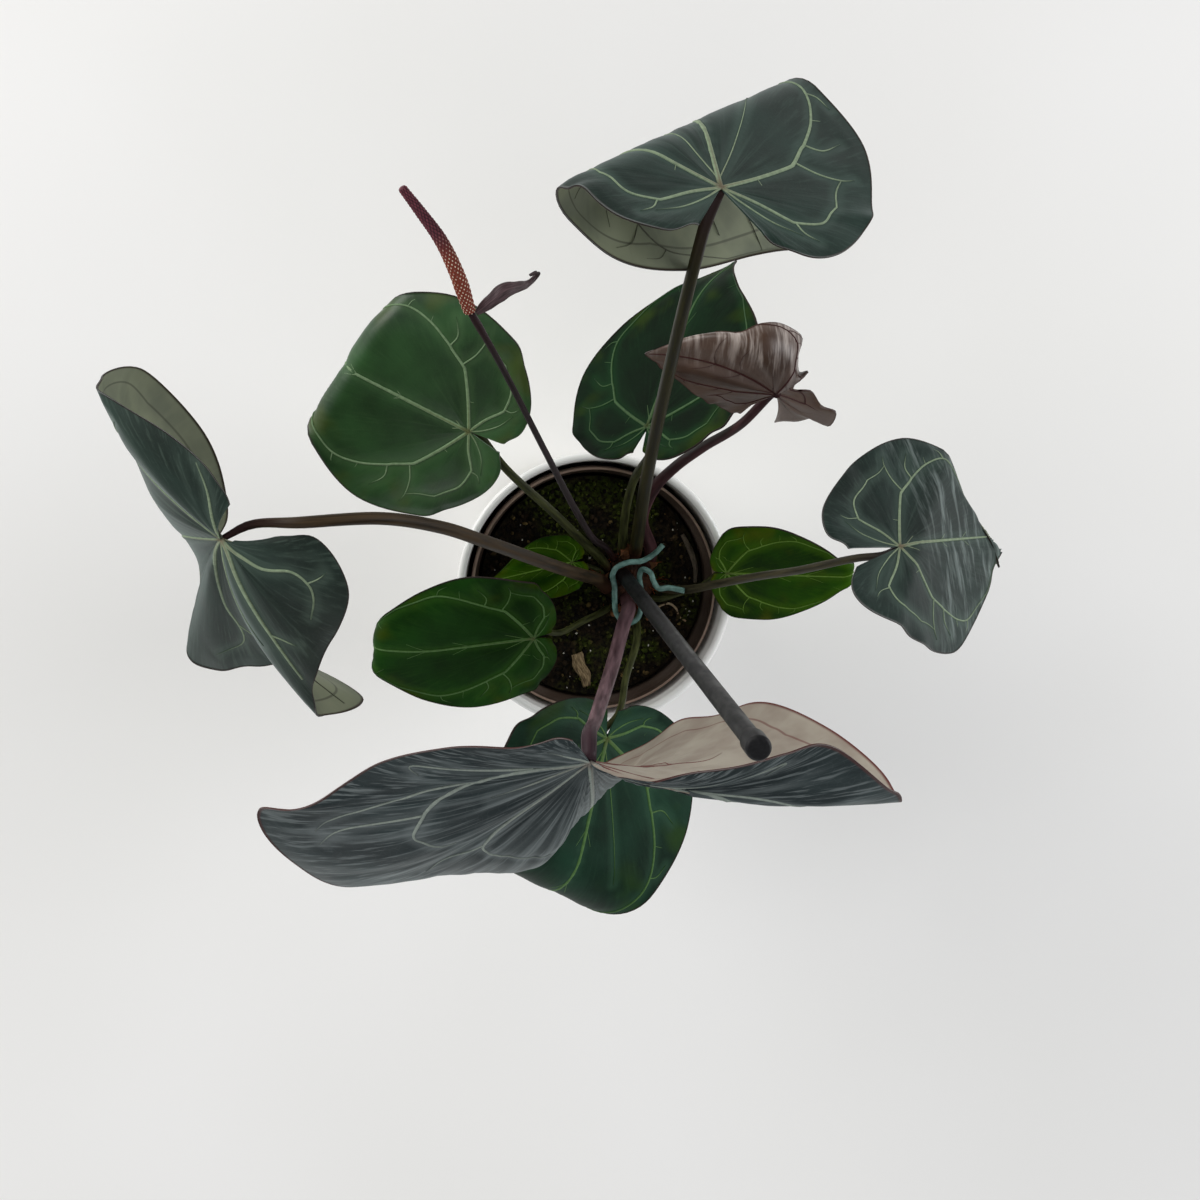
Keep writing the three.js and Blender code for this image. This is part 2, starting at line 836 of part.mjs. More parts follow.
// The stalk's end is cut to the underside of its blade, a small gap off it.
// Where ribs crowd at the hub the thicker blade doesn't quite cover the plain one, so both are cut away.
function seatedStalk(leaf) {
  const cuts = [CUT_GAP, 0].map((extra) => solidOf(bladeGeometry(leaf, extra).applyMatrix4(placeOf(leaf))));
  return geometryOf(largest(cuts.reduce((body, cut) => body.subtract(cut), solidOf(leafStalk(leaf)))));
}

// Crown: an uneven knob of stem with leaf scars, and the brown remains of old sheaths standing round it.
function crownSolid(extra = 0) {
  const { centre, sides, scarDepth, lobes, lobeDepth, fibres, fibreLength, fibreRoot } = CROWN;
  const radii = CROWN.radii.clone().addScalar(extra);
  const rings = [];
  for (let i = 1; i <= CROWN.rings; i++) {
    const rise = -Math.PI / 2 + (i / (CROWN.rings + 1)) * Math.PI;
    const scar = 1 + (i % 2 ? scarDepth : -scarDepth);
    rings.push(
      Array.from({ length: sides }, (_, j) => {
        const turn = (j / sides) * TAU;
        const uneven = scar + lobeDepth * Math.sin(lobes * turn + i);
        const away = new THREE.Vector3(
          Math.cos(rise) * Math.cos(turn),
          Math.cos(rise) * Math.sin(turn),
          Math.sin(rise),
        );
        return away.multiply(radii).multiplyScalar(uneven).add(centre);
      }),
    );
  }
  let body = solidOf(skin(rings));
  for (let k = 0; k < fibres; k++) {
    // Sines of the count give each fibre its own spacing, lean and height
    const turn = (k / fibres) * TAU + 0.35 * Math.sin(5 * k);
    const lean = 0.55 + 0.25 * Math.sin(3.7 * k);
    const height = 1.25 + 0.3 * Math.sin(2.3 * k);
    const away = new THREE.Vector3(Math.cos(turn), Math.sin(turn), 0);
    const root = away.clone().multiply(radii).multiplyScalar(fibreRoot).add(centre);
    const tip = root.clone().addScaledVector(away, fibreLength * lean);
    tip.z += fibreLength * height;
    const bend = root.clone().lerp(tip, 0.5).addScaledVector(away, CROWN.fibreBulge);
    body = body.add(solidOf(stalk([root, bend, tip], CROWN.fibreRadii, 4, 2, extra)));
  }
  for (const [points, thick] of CROWN_STUMPS) {
    body = body.add(solidOf(stalk(vectors(points), thick, 7, 3, extra)));
  }
  return body;
}

// The largest body left after a cut, without the crumbs.
function largest(solid) {
  return solid.decompose().reduce((a, b) => (a.volume() > b.volume() ? a : b));
}

// Spadix: a blunt spike whose skin rises into florets in slanting rows.
function spadixGeometry() {
  const { points, radii, sides, rows, floretsRound, floretHeight } = SPADIX;
  const curve = new THREE.CatmullRomCurve3(vectors(points), false, "centripetal");
  const frames = curve.computeFrenetFrames(rows, false);
  const rings = [];
  for (let i = 0; i <= rows; i++) {
    const along = (i / rows) * (radii.length - 1);
    const k = Math.min(Math.floor(along), radii.length - 2);
    const radius = THREE.MathUtils.lerp(radii[k], radii[k + 1], along - k);
    const centre = curve.getPointAt(i / rows);
    rings.push(
      Array.from({ length: sides }, (_, j) => {
        const turn = (j / sides) * TAU;
        const floret = Math.cos((floretsRound * j * TAU) / sides + Math.PI * i);
        const out = radius + floretHeight * floret;
        return centre
          .clone()
          .addScaledVector(frames.normals[i], out * Math.cos(turn))
          .addScaledVector(frames.binormals[i], out * Math.sin(turn));
      }),
    );
  }
  return skin(rings);
}

// Spathe: a narrow bract, slightly troughed, with its tip curled over.
function spatheGeometry() {
  const { points, halfWidths, steps, thickness, trough } = SPATHE;
  const curve = new THREE.CatmullRomCurve3(vectors(points), false, "centripetal");
  const rings = [];
  const side = curve.getTangentAt(0).cross(new THREE.Vector3(0, 0, 1));
  for (let i = 0; i <= steps; i++) {
    const ahead = curve.getTangentAt(i / steps);
    side.addScaledVector(ahead, -ahead.dot(side)).normalize();
    const face = new THREE.Vector3().crossVectors(ahead, side);
    const along = (i / steps) * (halfWidths.length - 1);
    const k = Math.min(Math.floor(along), halfWidths.length - 2);
    const half = THREE.MathUtils.lerp(halfWidths[k], halfWidths[k + 1], along - k);
    const centre = curve.getPointAt(i / steps);
    const point = (out, lift) => centre.clone().addScaledVector(side, out * half).addScaledVector(face, lift);
    const rise = trough * half;
    rings.push([
      point(-1, rise - thickness / 2),
      point(0, -thickness / 2),
      point(1, rise - thickness / 2),
      point(1, rise + thickness / 2),
      point(0, thickness / 2),
      point(-1, rise + thickness / 2),
    ]);
  }
  return skin(rings);
}

// A split, tapering chip of bark, sunk a little way into the soil by the cut that it makes.
function barkGeometry(extra = 0) {
  const { length, width, thickness, place, turn, rise, steps, sides } = BARK_CHIP;
  const rings = [];
  for (let i = 0; i <= steps; i++) {
    const along = i / steps - 0.5;
    const half = (width / 2) * (1 - 0.9 * along ** 2 - 0.35 * along) + extra;
    const deep = (thickness / 2) * (1 - 0.8 * along ** 2) + extra;
    const drift = 0.5 * Math.sin(7 * along);
    rings.push(
      Array.from({ length: sides }, (_, j) => {
        const round = (j / sides) * TAU;
        const bump = 1 + 0.12 * Math.sin(3 * j + 2 * i);
        return new THREE.Vector3(
          along * (length + 2 * extra),
          half * Math.cos(round) * bump + drift,
          deep * Math.sin(round),
        );
      }),
    );
  }
  const [x, y] = place;
  return skin(rings).rotateZ(rad(turn)).translate(x, y, soilHeight(x, y) + rise);
}

// A dry root lying over the soil.
function dryRootGeometry(extra = 0) {
  const { points, radii, steps } = DRY_ROOT_PIECE;
  const route = points.map(([x, y, over]) => new THREE.Vector3(x, y, soilHeight(x, y) + over));
  return stalk(route, radii, STALK_SIDES, steps, extra);
}

// Put together

add("cachepot", cachepotGeometry(), GLAZE);
add("nursery_pot", nurseryPotGeometry(), TAN_PLASTIC);

add("stake", stakeGeometry(), STAKE_COAT);

for (const [name, leaf] of Object.entries(LEAVES)) {
  add("petiole_" + name, seatedStalk(leaf), leaf.stalkSkin);
  add("blade_" + name, bladeGeometry(leaf), leaf.skin).applyMatrix4(placeOf(leaf));
}

function peduncle(extra) {
  return stalk(vectors(PEDUNCLE.points), PEDUNCLE.radii, STALK_SIDES, STALK_STEPS, extra);
}

add("peduncle", peduncle(0), BROWN_STALK);

add("spadix", spadixGeometry(), SPADIX_SKIN);
add("spathe", spatheGeometry(), SPATHE_SKIN);
add("tie", stalk(vectors(TIE.points), [TIE.radius, TIE.radius], TIE.sides, TIE.steps), TIE_COAT);
add("bark_chip", barkGeometry(), BARK);
add("dry_root", dryRootGeometry(), DRY_ROOT);

// The stalks and the stake stand in sockets in the crown, and all that enters the soil has its hole there.
const uprights = [
  stakeGeometry(CUT_GAP),
  peduncle(CUT_GAP),
  ...Object.values(LEAVES).map((leaf) => leafStalk(leaf, CUT_GAP)),
].map(solidOf);
const crown = uprights.reduce((body, hole) => body.subtract(hole), crownSolid());
add("crown", geometryOf(largest(crown)), CROWN_FIBRE);

const litter = [barkGeometry(CUT_GAP), dryRootGeometry(CUT_GAP)].map(solidOf);
const holes = [...uprights, crownSolid(CUT_GAP), ...litter];
const soil = holes.reduce((body, hole) => body.subtract(hole), solidOf(soilGeometry()));
add("soil", geometryOf(largest(soil)), POTTING_MIX);

export default group;
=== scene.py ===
# %% [markdown]
# # A potted anthurium hybrid, seen from above
# The plant has eleven heart-shaped leaves on long stalks, one flower, a stake and two pots, one inside the
# other. The CAD frame already holds every piece at its real size. Here each piece gets a finer mesh and a
# finish of its own. Leaves are drawn from a few control points, so that every curve can be traced back to a
# number with a meaning.

import math

import bpy
import numpy as np
from mathutils import Matrix, Vector


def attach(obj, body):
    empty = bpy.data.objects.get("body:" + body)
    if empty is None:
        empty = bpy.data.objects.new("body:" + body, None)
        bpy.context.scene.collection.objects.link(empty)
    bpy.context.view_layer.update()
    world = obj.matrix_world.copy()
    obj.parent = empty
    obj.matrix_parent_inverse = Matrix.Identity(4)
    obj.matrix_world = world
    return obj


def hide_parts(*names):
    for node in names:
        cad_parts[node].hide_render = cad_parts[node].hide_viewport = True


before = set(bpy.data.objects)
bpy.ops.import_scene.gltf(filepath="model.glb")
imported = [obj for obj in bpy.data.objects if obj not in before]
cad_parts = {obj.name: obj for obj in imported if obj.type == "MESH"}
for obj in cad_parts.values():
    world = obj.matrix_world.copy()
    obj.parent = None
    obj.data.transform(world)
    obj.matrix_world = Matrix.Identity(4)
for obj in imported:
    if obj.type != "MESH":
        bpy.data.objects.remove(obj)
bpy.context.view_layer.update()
MM = 0.001
TAU = 2 * math.pi
print("CAD nodes:", len(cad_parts))

# %% [markdown]
# ## Turning numbers into meshes
# Almost every piece here is a grid of points: rings round a stalk, ribs across a blade, a profile turned on
# a wheel. One helper writes such a mesh in metres, rides it on the body and hides the CAD node that it stands
# for. Patterns need to know where they are on a piece, so a mesh can carry named values at each point, such
# as the distance to the nearest vein. The materials read those names.

# %% One helper for every piece
def make_piece(name, points, faces, materials, node, marks=None, face_slots=None):
    mesh = bpy.data.meshes.new(name)
    mesh.from_pydata((np.asarray(points) * MM).tolist(), [], faces)
    for material in materials:
        mesh.materials.append(material)
    if face_slots is not None:
        mesh.polygons.foreach_set("material_index", np.asarray(face_slots, dtype=np.int32))
    mesh.polygons.foreach_set("use_smooth", [True] * len(mesh.polygons))
    for mark, values in (marks or {}).items():
        values = np.asarray(values, dtype=np.float32)
        if values.ndim == 1:
            layer = mesh.attributes.new(mark, "FLOAT", "POINT")
            layer.data.foreach_set("value", values)
        else:
            layer = mesh.attributes.new(mark, "FLOAT_VECTOR", "POINT")
            layer.data.foreach_set("vector", values.ravel())
    mesh.validate()
    piece = bpy.data.objects.new(name, mesh)
    bpy.context.scene.collection.objects.link(piece)
    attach(piece, "root")
    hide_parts(node)
    print(name, "points", len(mesh.vertices), "faces", len(mesh.polygons))


# %% Gather several closed bodies into one mesh
class Gather:
    """Collects points, faces and marks of many bodies, so that they become one piece."""

    def __init__(self):
        self.points = []
        self.faces = []
        self.slots = []
        self.marks = {}
        self.count = 0

    def add(self, points, faces, slot, **marks):
        points = np.asarray(points, dtype=float)
        self.points.append(points)
        self.faces.extend([tuple(int(i) + self.count for i in face) for face in faces])
        self.slots.extend([slot] * len(faces) if np.isscalar(slot) else list(slot))
        for mark, values in marks.items():
            values = np.asarray(values, dtype=float)
            if values.ndim == 0:
                values = np.full(len(points), float(values))
            self.marks.setdefault(mark, []).append(values)
        self.count += len(points)

    def piece(self, name, materials, slot, node):
        marks = {mark: np.concatenate(values) for mark, values in self.marks.items()}
        points = np.concatenate(self.points)
        make_piece(name, points, self.faces, materials, node, marks, self.slots)


# %% Faces of a closed body made of rings
def ring_faces(rings, sides):
    """Rings of equal counts that turn left about the way ahead, closed by a fan at each end."""
    faces = []
    for i in range(rings - 1):
        for j in range(sides):
            a = i * sides + j
            b = i * sides + (j + 1) % sides
            faces.append((a, b, b + sides, a + sides))
    first = rings * sides
    for j in range(sides):
        faces.append((first, (j + 1) % sides, j))
    end = (rings - 1) * sides
    for j in range(sides):
        faces.append((first + 1, end + j, end + (j + 1) % sides))
    return faces


def ring_body(rings):
    rings = np.asarray(rings, dtype=float)
    points = np.concatenate([rings.reshape(-1, 3), [rings[0].mean(0), rings[-1].mean(0)]])
    return points, ring_faces(len(rings), rings.shape[1])


print("two rings of four points make", len(ring_faces(2, 4)), "faces")


# %% Where each point is, and directions on a ball
def place_marks(along, turn):
    """Where each point of a ring body is, as a share of its length and of its round, then its two ends."""
    grid = np.stack(np.broadcast_arrays(along, turn / TAU, 0.0), -1)
    return np.vstack([grid.reshape(-1, 3), grid[0, 0], grid[-1, 0]])


def ways_round(turn, rise):
    """Directions on a ball: turn counts round the axis and rise up from its equator."""
    level = np.cos(rise)
    return np.stack(np.broadcast_arrays(level * np.cos(turn), level * np.sin(turn), np.sin(rise)), -1)


print("a quarter round and level:", ways_round(TAU / 4, 0).round(3))


# %% Curves through given points
def unit(v):
    return v / np.maximum(np.linalg.norm(v, axis=-1, keepdims=True), 1e-12)


def through(points, at):
    """A smooth curve through the points; at counts along them, 0 at the first and 1 at the second."""
    p = np.asarray(points, dtype=float)
    p = np.vstack([2 * p[0] - p[1], p, 2 * p[-1] - p[-2]])
    at = np.clip(np.asarray(at, dtype=float), 0, len(p) - 3)
    i = np.minimum(np.floor(at).astype(int), len(p) - 4)
    f = (at - i)[..., None]
    a, b, c, d = p[i], p[i + 1], p[i + 2], p[i + 3]
    square = 2 * a - 5 * b + 4 * c - d
    cube = 3 * b - a - 3 * c + d
    return 0.5 * (2 * b + (c - a) * f + square * f**2 + cube * f**3)


print("halfway up a small hill:", through([(0, 0), (1, 1), (2, 0)], 0.5).round(3))


# %% The centre line of a stalk
def stalk_line(points, steps):
    """The centre line of a stalk, even along its length. Knots are spaced by the root of the distances
    between the points, which keeps a curve through uneven points from looping."""
    p = np.asarray(points, dtype=float)
    p = np.vstack([2 * p[0] - p[1], p, 2 * p[-1] - p[-2]])
    fine = []
    for i in range(len(p) - 3):
        a, b, c, d = p[i : i + 4]
        k0, k1, k2 = (max(np.linalg.norm(v) ** 0.5, 1e-4) for v in (b - a, c - b, d - c))
        start = ((b - a) / k0 - (c - a) / (k0 + k1) + (c - b) / k1) * k1
        finish = ((c - b) / k1 - (d - b) / (k1 + k2) + (d - c) / k2) * k1
        f = np.linspace(0, 1, 40, endpoint=False)[:, None]
        square = 3 * (c - b) - 2 * start - finish
        cube = 2 * (b - c) + start + finish
        fine.append(b + start * f + square * f**2 + cube * f**3)
    fine = np.vstack(fine + [p[-2]])
    run = np.concatenate([[0], np.cumsum(np.linalg.norm(np.diff(fine, axis=0), axis=1))])
    at = np.linspace(0, run[-1], steps + 1)
    return np.stack([np.interp(at, run, fine[:, k]) for k in range(3)], axis=1)


bent = stalk_line([(0, 0, 0), (0, 0, 50), (40, 0, 90)], 20)
print("even steps of", np.linalg.norm(np.diff(bent, axis=0), axis=1)[[0, -1]].round(2), "mm")


# %% A round body along a line
def carried_frames(line):
    """A side and an upward direction at each point of a line, carried along so that they don't spin."""
    ahead = unit(np.gradient(line, axis=0))
    side = np.cross(ahead[0], [0.0, 0.0, 1.0])
    if np.linalg.norm(side) < 1e-3:
        side = np.array([1.0, 0.0, 0.0])
    sides = []
    for way in ahead:
        side = unit(side - way * side.dot(way))
        sides.append(side)
    sides = np.array(sides)
    return ahead, sides, np.cross(ahead, sides)


def round_sections(line, side, up, out, turn):
    """Rings of points round a line, each as far out as it says."""
    sideways = side[:, None, :] * (out * np.cos(turn))[..., None]
    upwards = up[:, None, :] * (out * np.sin(turn))[..., None]
    return line[:, None, :] + sideways + upwards


def tube(line, radii, sides, shape=None):
    """A closed round body along a line. shape(turn, along) may press grooves into the section."""
    _, side, up = carried_frames(line)
    along = np.linspace(0, 1, len(line))
    radius = np.interp(along, np.linspace(0, 1, len(radii)), radii)
    turn = np.linspace(0, TAU, sides, endpoint=False)
    out = radius[:, None] * np.ones(sides)
    if shape is not None:
        out = out * shape(turn[None, :], along[:, None])
    points, faces = ring_body(round_sections(line, side, up, out, turn))
    return points, faces, place_marks(along[:, None], turn[None, :])


print("a short tube has", len(tube(bent, [2, 1], 12)[1]), "faces")

# %% [markdown]
# ## Finishes made of nodes
# A real leaf is never one colour. Each finish below starts from a Principled shader, and a few patterns
# steer its colour, roughness and relief. Patterns could be painted on an image, but a node pattern has no
# seams, is sharp at every distance and can be changed by one number. A finish holds its skin, the colour so
# far, and every tone painted over it adds one more node to the tree.

# %% A small hand for building node trees
class Finish:
    """One material. Most methods add a node and return the socket that holds the result; paint and cover
    change the skin."""

    def __init__(self, name, roughness=0.5, **constants):
        self.material = bpy.data.materials.new(name)
        self.material.use_nodes = True
        self.tree = self.material.node_tree
        self.shader = self.tree.nodes["Principled BSDF"]
        self.skin = None
        self.set("Roughness", roughness)
        for socket, value in constants.items():
            self.set(socket.replace("_", " ").title().replace("Ior", "IOR"), value)

    def join(self, value, target):
        if isinstance(value, bpy.types.NodeSocket):
            self.tree.links.new(value, target)
        else:
            target.default_value = value

    def set(self, socket, value):
        self.join((*value, 1.0) if isinstance(value, tuple) else value, self.shader.inputs[socket])

    def node(self, kind, settings=None, **inputs):
        """Adds a node; its inputs are given by name, or as i0, i1 and so on by place."""
        made = self.tree.nodes.new(kind)
        for key, value in (settings or {}).items():
            setattr(made, key, value)
        for key, value in inputs.items():
            by_place = key[0] == "i" and key[1:].isdigit()
            self.join(value, made.inputs[int(key[1:]) if by_place else key])
        return made

    def mark(self, name):
        return self.node("ShaderNodeAttribute", {"attribute_name": name}).outputs["Fac"]

    def vector_mark(self, name):
        return self.node("ShaderNodeAttribute", {"attribute_name": name}).outputs["Vector"]

    def place(self):
        return self.node("ShaderNodeTexCoord").outputs["Object"]

    def split(self, vector):
        return self.node("ShaderNodeSeparateXYZ", None, Vector=vector).outputs

    def math(self, operation, a, b=0.0):
        return self.node("ShaderNodeMath", {"operation": operation}, i0=a, i1=b).outputs[0]

    def times(self, a, b):
        return self.math("MULTIPLY", a, b)

    def scaled(self, vector, by):
        return self.node("ShaderNodeVectorMath", {"operation": "MULTIPLY"}, i0=vector, i1=by).outputs[0]

    def noise(self, vector, scale, detail=3.0, roughness=0.5):
        """Soft noise; the scale is one number, or three where the pattern is stretched."""
        if isinstance(scale, tuple):
            vector = self.scaled(vector, scale)
            scale = 1.0
        made = self.node(
            "ShaderNodeTexNoise", None, Vector=vector, Scale=scale, Detail=detail, Roughness=roughness
        )
        return made.outputs["Fac"]

    def cells(self, vector, scale):
        made = self.node(
            "ShaderNodeTexVoronoi", {"feature": "DISTANCE_TO_EDGE"}, Vector=vector, Scale=scale
        )
        return made.outputs["Distance"]

    def span(self, value, low, high, new_low=0.0, new_high=1.0):
        """Stretches low..high to new_low..new_high with soft ends."""
        made = self.node(
            "ShaderNodeMapRange", {"interpolation_type": "SMOOTHSTEP"}, i0=value, i1=low, i2=high,
            i3=new_low, i4=new_high,
        )
        return made.outputs[0]

    def mix(self, amount, a, b):
        """One colour over another. The sockets 0, 6 and 7 are the amount and the two colours."""
        a, b = (colour(tone) if isinstance(tone, str) else tone for tone in (a, b))
        return self.node("ShaderNodeMix", {"data_type": "RGBA"}, i0=amount, i6=a, i7=b).outputs[2]

    def start(self, dark, light, value, low, high):
        self.skin = self.mix(self.span(value, low, high), dark, light)

    def cover(self, tone, amount):
        self.skin = self.mix(amount, self.skin, tone)

    def paint(self, tone, value, low, high, new_low=0.0, new_high=1.0):
        self.cover(tone, self.span(value, low, high, new_low, new_high))

    def relief(self, height, strength, depth):
        bump = self.node("ShaderNodeBump", None, Strength=strength, Distance=depth * MM, Height=height)
        self.tree.links.new(bump.outputs["Normal"], self.shader.inputs["Normal"])

    def done(self):
        self.set("Base Color", self.skin)
        return self.material


def colour(code):
    """A colour as Blender wants it, from the usual six digits."""
    parts = [int(code[k : k + 2], 16) / 255 for k in (0, 2, 4)]
    return (*(p / 12.92 if p <= 0.04045 else ((p + 0.055) / 1.055) ** 2.4 for p in parts), 1.0)


print("a middle grey:", [round(part, 3) for part in colour("808080")])


# %% [markdown]
# ## The surface of a blade
# The upper side has a dark lamina with pale veins. The lamina is a little lighter close to the veins, it has
# fine pale and dark streaks that run out from the hub, which are painted sheen and painted shade, and it has
# a thin dark line round the margin. Velvety leaves scatter light at their rim, which the sheen of the shader
# gives. The large front leaf is pleated, with a painted highlight on each crest and painted shade in each
# valley. The green leaves are smoother, and their older edges turn yellow. Two leaves have bars of painted
# sheen: on the right velvet leaf they are silvery and lie across the midrib, and on the young bronze leaf,
# which is still shiny, they are painted highlights that stand upright in the view. An underside is dull,
# with thin dark lines that run beside the margin.

# %% The upper side
SHEEN_TINT = (0.77, 0.89, 0.87)


def lamina(name, dark, light, pale_and_highlight, roughness=0.5, shine=0.18, sheen=0.0, pleat=0.0, streak_scale=(85.0, 2.0),
           margin="2c2420", patch=None, sheen_bars=None):
    """The upper side: two tones in clouds and a pale band by the veins, with pale and dark streaks from the
    hub that are painted sheen and painted shade. pleat says how strong these streaks are and how strongly the
    pleat crests are painted light and the valleys dark; the last argument gives the tone of the bars of
    painted sheen, how strong they are, where they begin on the leaf, and if they stand upright."""
    f = Finish(name, roughness, specular_ior_level=shine, sheen_weight=sheen, sheen_roughness=0.4)
    f.set("Sheen Tint", SHEEN_TINT)
    flat = f.vector_mark("flat")
    fan = f.vector_mark("fan")
    reach = f.mark("reach")
    crest = f.mark("crest")
    clouds = f.noise(flat, 0.025)
    f.start(dark, light, clouds, 0.35, 0.68)
    # Painted highlight on the pleat crests and painted shade in the pleat valleys.
    f.paint(pale_and_highlight, crest, 0.1, 0.9, 0.0, pleat * 0.6)
    f.paint(dark, crest, 0.0, -0.7, 0.0, pleat * 0.7)
    # Pale and dark streaks that run out from the hub: painted sheen and painted shade, also used as relief.
    coarse = f.noise(fan, (*streak_scale, 1.0), 3.0, 0.6)
    fine = f.noise(fan, (streak_scale[0] * 2.4, streak_scale[1] * 2.2, 5.0), 3.0, 0.6)
    near = f.times(coarse, f.span(reach, 0.2, 0.75, 1.0, 0.0))
    fan_streaks = f.math("ADD", near, f.times(fine, f.span(reach, 0.2, 0.75)))
    f.paint(pale_and_highlight, fan_streaks, 0.5, 0.72 - 0.14 * pleat, 0.0, 0.1 + 0.7 * pleat)
    f.paint(dark, fan_streaks, 0.46, 0.34, 0.0, 0.2 + 0.6 * pleat)
    f.paint(pale_and_highlight, f.cells(flat, 0.35), 0.0, 0.06, 0.04, 0.0)
    f.paint(pale_and_highlight, f.mark("vein"), 0.3, 5.0, 0.3, 0.0)
    if patch:
        spots = f.noise(flat, 0.04, 2.0)
        f.cover(patch, f.times(f.times(f.span(spots, 0.5, 0.7), f.span(reach, 0.5, 0.95)), 0.7))
    # Bars of painted sheen; on the bronze leaf they are painted highlights that stand upright in the view.
    if sheen_bars:
        tone, amount, start_x, start_y, upright = sheen_bars
        if upright:
            bars = f.noise(f.place(), (260.0, 26.0, 26.0), 4.0, 0.65)
        else:
            bars = f.noise(flat, (0.03, 0.22, 1.0), 4.0, 0.65)
        where = f.split(flat)
        shone = f.times(f.span(bars, 0.46, 0.7, 0.0, amount), f.span(where["X"], start_x, start_x + 8))
        f.cover(tone, f.times(shone, f.span(where["Y"], start_y, start_y + 20)))
    f.paint(margin, reach, 0.985, 0.996)
    f.set("Roughness", f.span(clouds, 0.2, 0.8, roughness - 0.05, roughness + 0.08))
    grain = f.noise(flat, 1.6, 2.0)
    f.relief(f.math("ADD", fan_streaks, f.times(grain, 0.3)), 0.3, 0.3)
    return f.done()


VELVET = lamina("velvet_lamina", "15211b", "25352e", "5a6c60", 0.6, sheen=0.28, pleat=0.2)
SMOOTH_VELVET = lamina("smooth_velvet", "0f1d17", "1c2e27", "4e6258", 0.6, sheen=0.25, pleat=0.08)
# The right velvet leaf: its silvery bars are painted sheen.
BARRED_VELVET = lamina("barred_sheen_lamina", "101b17", "1c2b26", "54665c", 0.6, sheen=0.3, pleat=0.1,
                sheen_bars=("8a9692", 0.55, -99, 6, False))
# The large front leaf: its pleat crests get a strong painted highlight and its valleys painted shade.
SLATE = lamina("slate_lamina", "1b2426", "2c3738", "7c8484", 0.55, sheen=0.2, pleat=0.55, streak_scale=(130.0, 2.2),
               margin="4a2e2c")
SATIN = lamina("satin_lamina", "123010", "285024", "4e7044", 0.4, 0.4, sheen=0.1, patch="3c4a0a")
GREEN = lamina("green_lamina", "0b2803", "18400e", "3c6420", 0.5, 0.06, patch="384600")
DEEP = lamina("deep_lamina", "021204", "09220f", "1e4624", 0.5, 0.05, patch="2a3c06")
TEAL = lamina("teal_lamina", "0a2216", "183828", "3c6048", 0.5, 0.1, patch="24400e")
YOUNG = lamina("young_lamina", "0d2600", "224a00", "4a6c10", 0.5, 0.04, patch="484c00")
# The bronze leaf: its upright bars are painted highlights.
BRONZE = lamina("bronze_lamina", "34231a", "543f32", "74625a", 0.36, 0.4, margin="3a1c1a",
                sheen_bars=("c4b8b0", 0.8, -3, 0, True))
print("finishes so far:", len(bpy.data.materials))


# %% The underside
def underside(name, dark, light, margin, line):
    """The lower side: duller, streaked, and with a thin scalloped line inside its margin."""
    f = Finish(name, 0.62, specular_ior_level=0.3)
    flat = f.vector_mark("flat")
    fan = f.vector_mark("fan")
    reach = f.mark("reach")
    f.start(dark, light, f.noise(flat, 0.04), 0.3, 0.7)
    fan_streaks = f.noise(fan, (110.0, 1.4, 1.0))
    f.paint(light, fan_streaks, 0.5, 0.75, 0.0, 0.35)
    f.paint(line, fan_streaks, 0.3, 0.22, 0.0, 0.4)
    scallop = f.math("ABSOLUTE", f.math("SINE", f.times(f.split(fan)["X"], 30.0)))
    off_line = f.math("SUBTRACT", reach, f.times(scallop, 0.03))
    off_line = f.math("ABSOLUTE", f.math("SUBTRACT", off_line, 0.88))
    f.paint(line, off_line, 0.002, 0.008, 0.7, 0.0)
    f.paint(margin, reach, 0.985, 0.997)
    f.relief(fan_streaks, 0.35, 0.3)
    return f.done()


OLIVE_BACK = underside("olive_underside", "666c5a", "82886f", "3a2e26", "45473a")
ROSE_BACK = underside("rose_underside", "8e8276", "a69e90", "5c2420", "6a3c36")
GREEN_BACK = underside("green_underside", "34502f", "4c6a44", "2c3a22", "2c4426")
BRONZE_BACK = underside("bronze_underside", "4a3a35", "6c5a52", "4c2420", "3a2422")
print("finishes so far:", len(bpy.data.materials))


# %% The veins
def vein_skin(name, edge, groove, lamina_tone):
    """Veins are pale at their edges, browner in their middle near the hub, and fade at their ends."""
    f = Finish(name, 0.5, specular_ior_level=0.15)
    reach = f.mark("reach")
    worn = f.noise(f.vector_mark("flat"), 0.5, 2.0)
    f.skin = f.mix(f.span(worn, 0.3, 0.75, 0.0, 0.3), edge, lamina_tone)
    f.cover(groove, f.times(f.mark("middle"), f.span(reach, 0.4, 0.0, 0.0, 0.7)))
    f.paint(groove, reach, 0.05, 0.0, 0.0, 0.8)
    f.paint(lamina_tone, f.mark("fade"), 0.4, 1.0, 0.0, 0.95)
    return f.done()


PALE_VEIN = vein_skin("pale_vein", "86967a", "6a5c4a", "34443a")
SLATE_VEIN = vein_skin("slate_vein", "8c958c", "7a7068", "505856")
LIGHT_VEIN = vein_skin("light_vein", "7c9470", "66683e", "2c4c26")
GREEN_VEIN = vein_skin("green_vein", "527440", "4c542a", "1a3c14")
DEEP_VEIN = vein_skin("deep_vein", "42603a", "3c4424", "0c2410")
YOUNG_VEIN = vein_skin("young_vein", "5a7a2a", "4c542a", "224a08")
DARK_VEIN = vein_skin("dark_vein", "45443a", "38342c", "666c5a")
RED_VEIN = vein_skin("red_vein", "6a3a36", "4a2020", "8c8276")
WINE_VEIN = vein_skin("wine_vein", "3c1c1c", "2a1212", "4c3830")
print("leaf finishes:", len(bpy.data.materials))

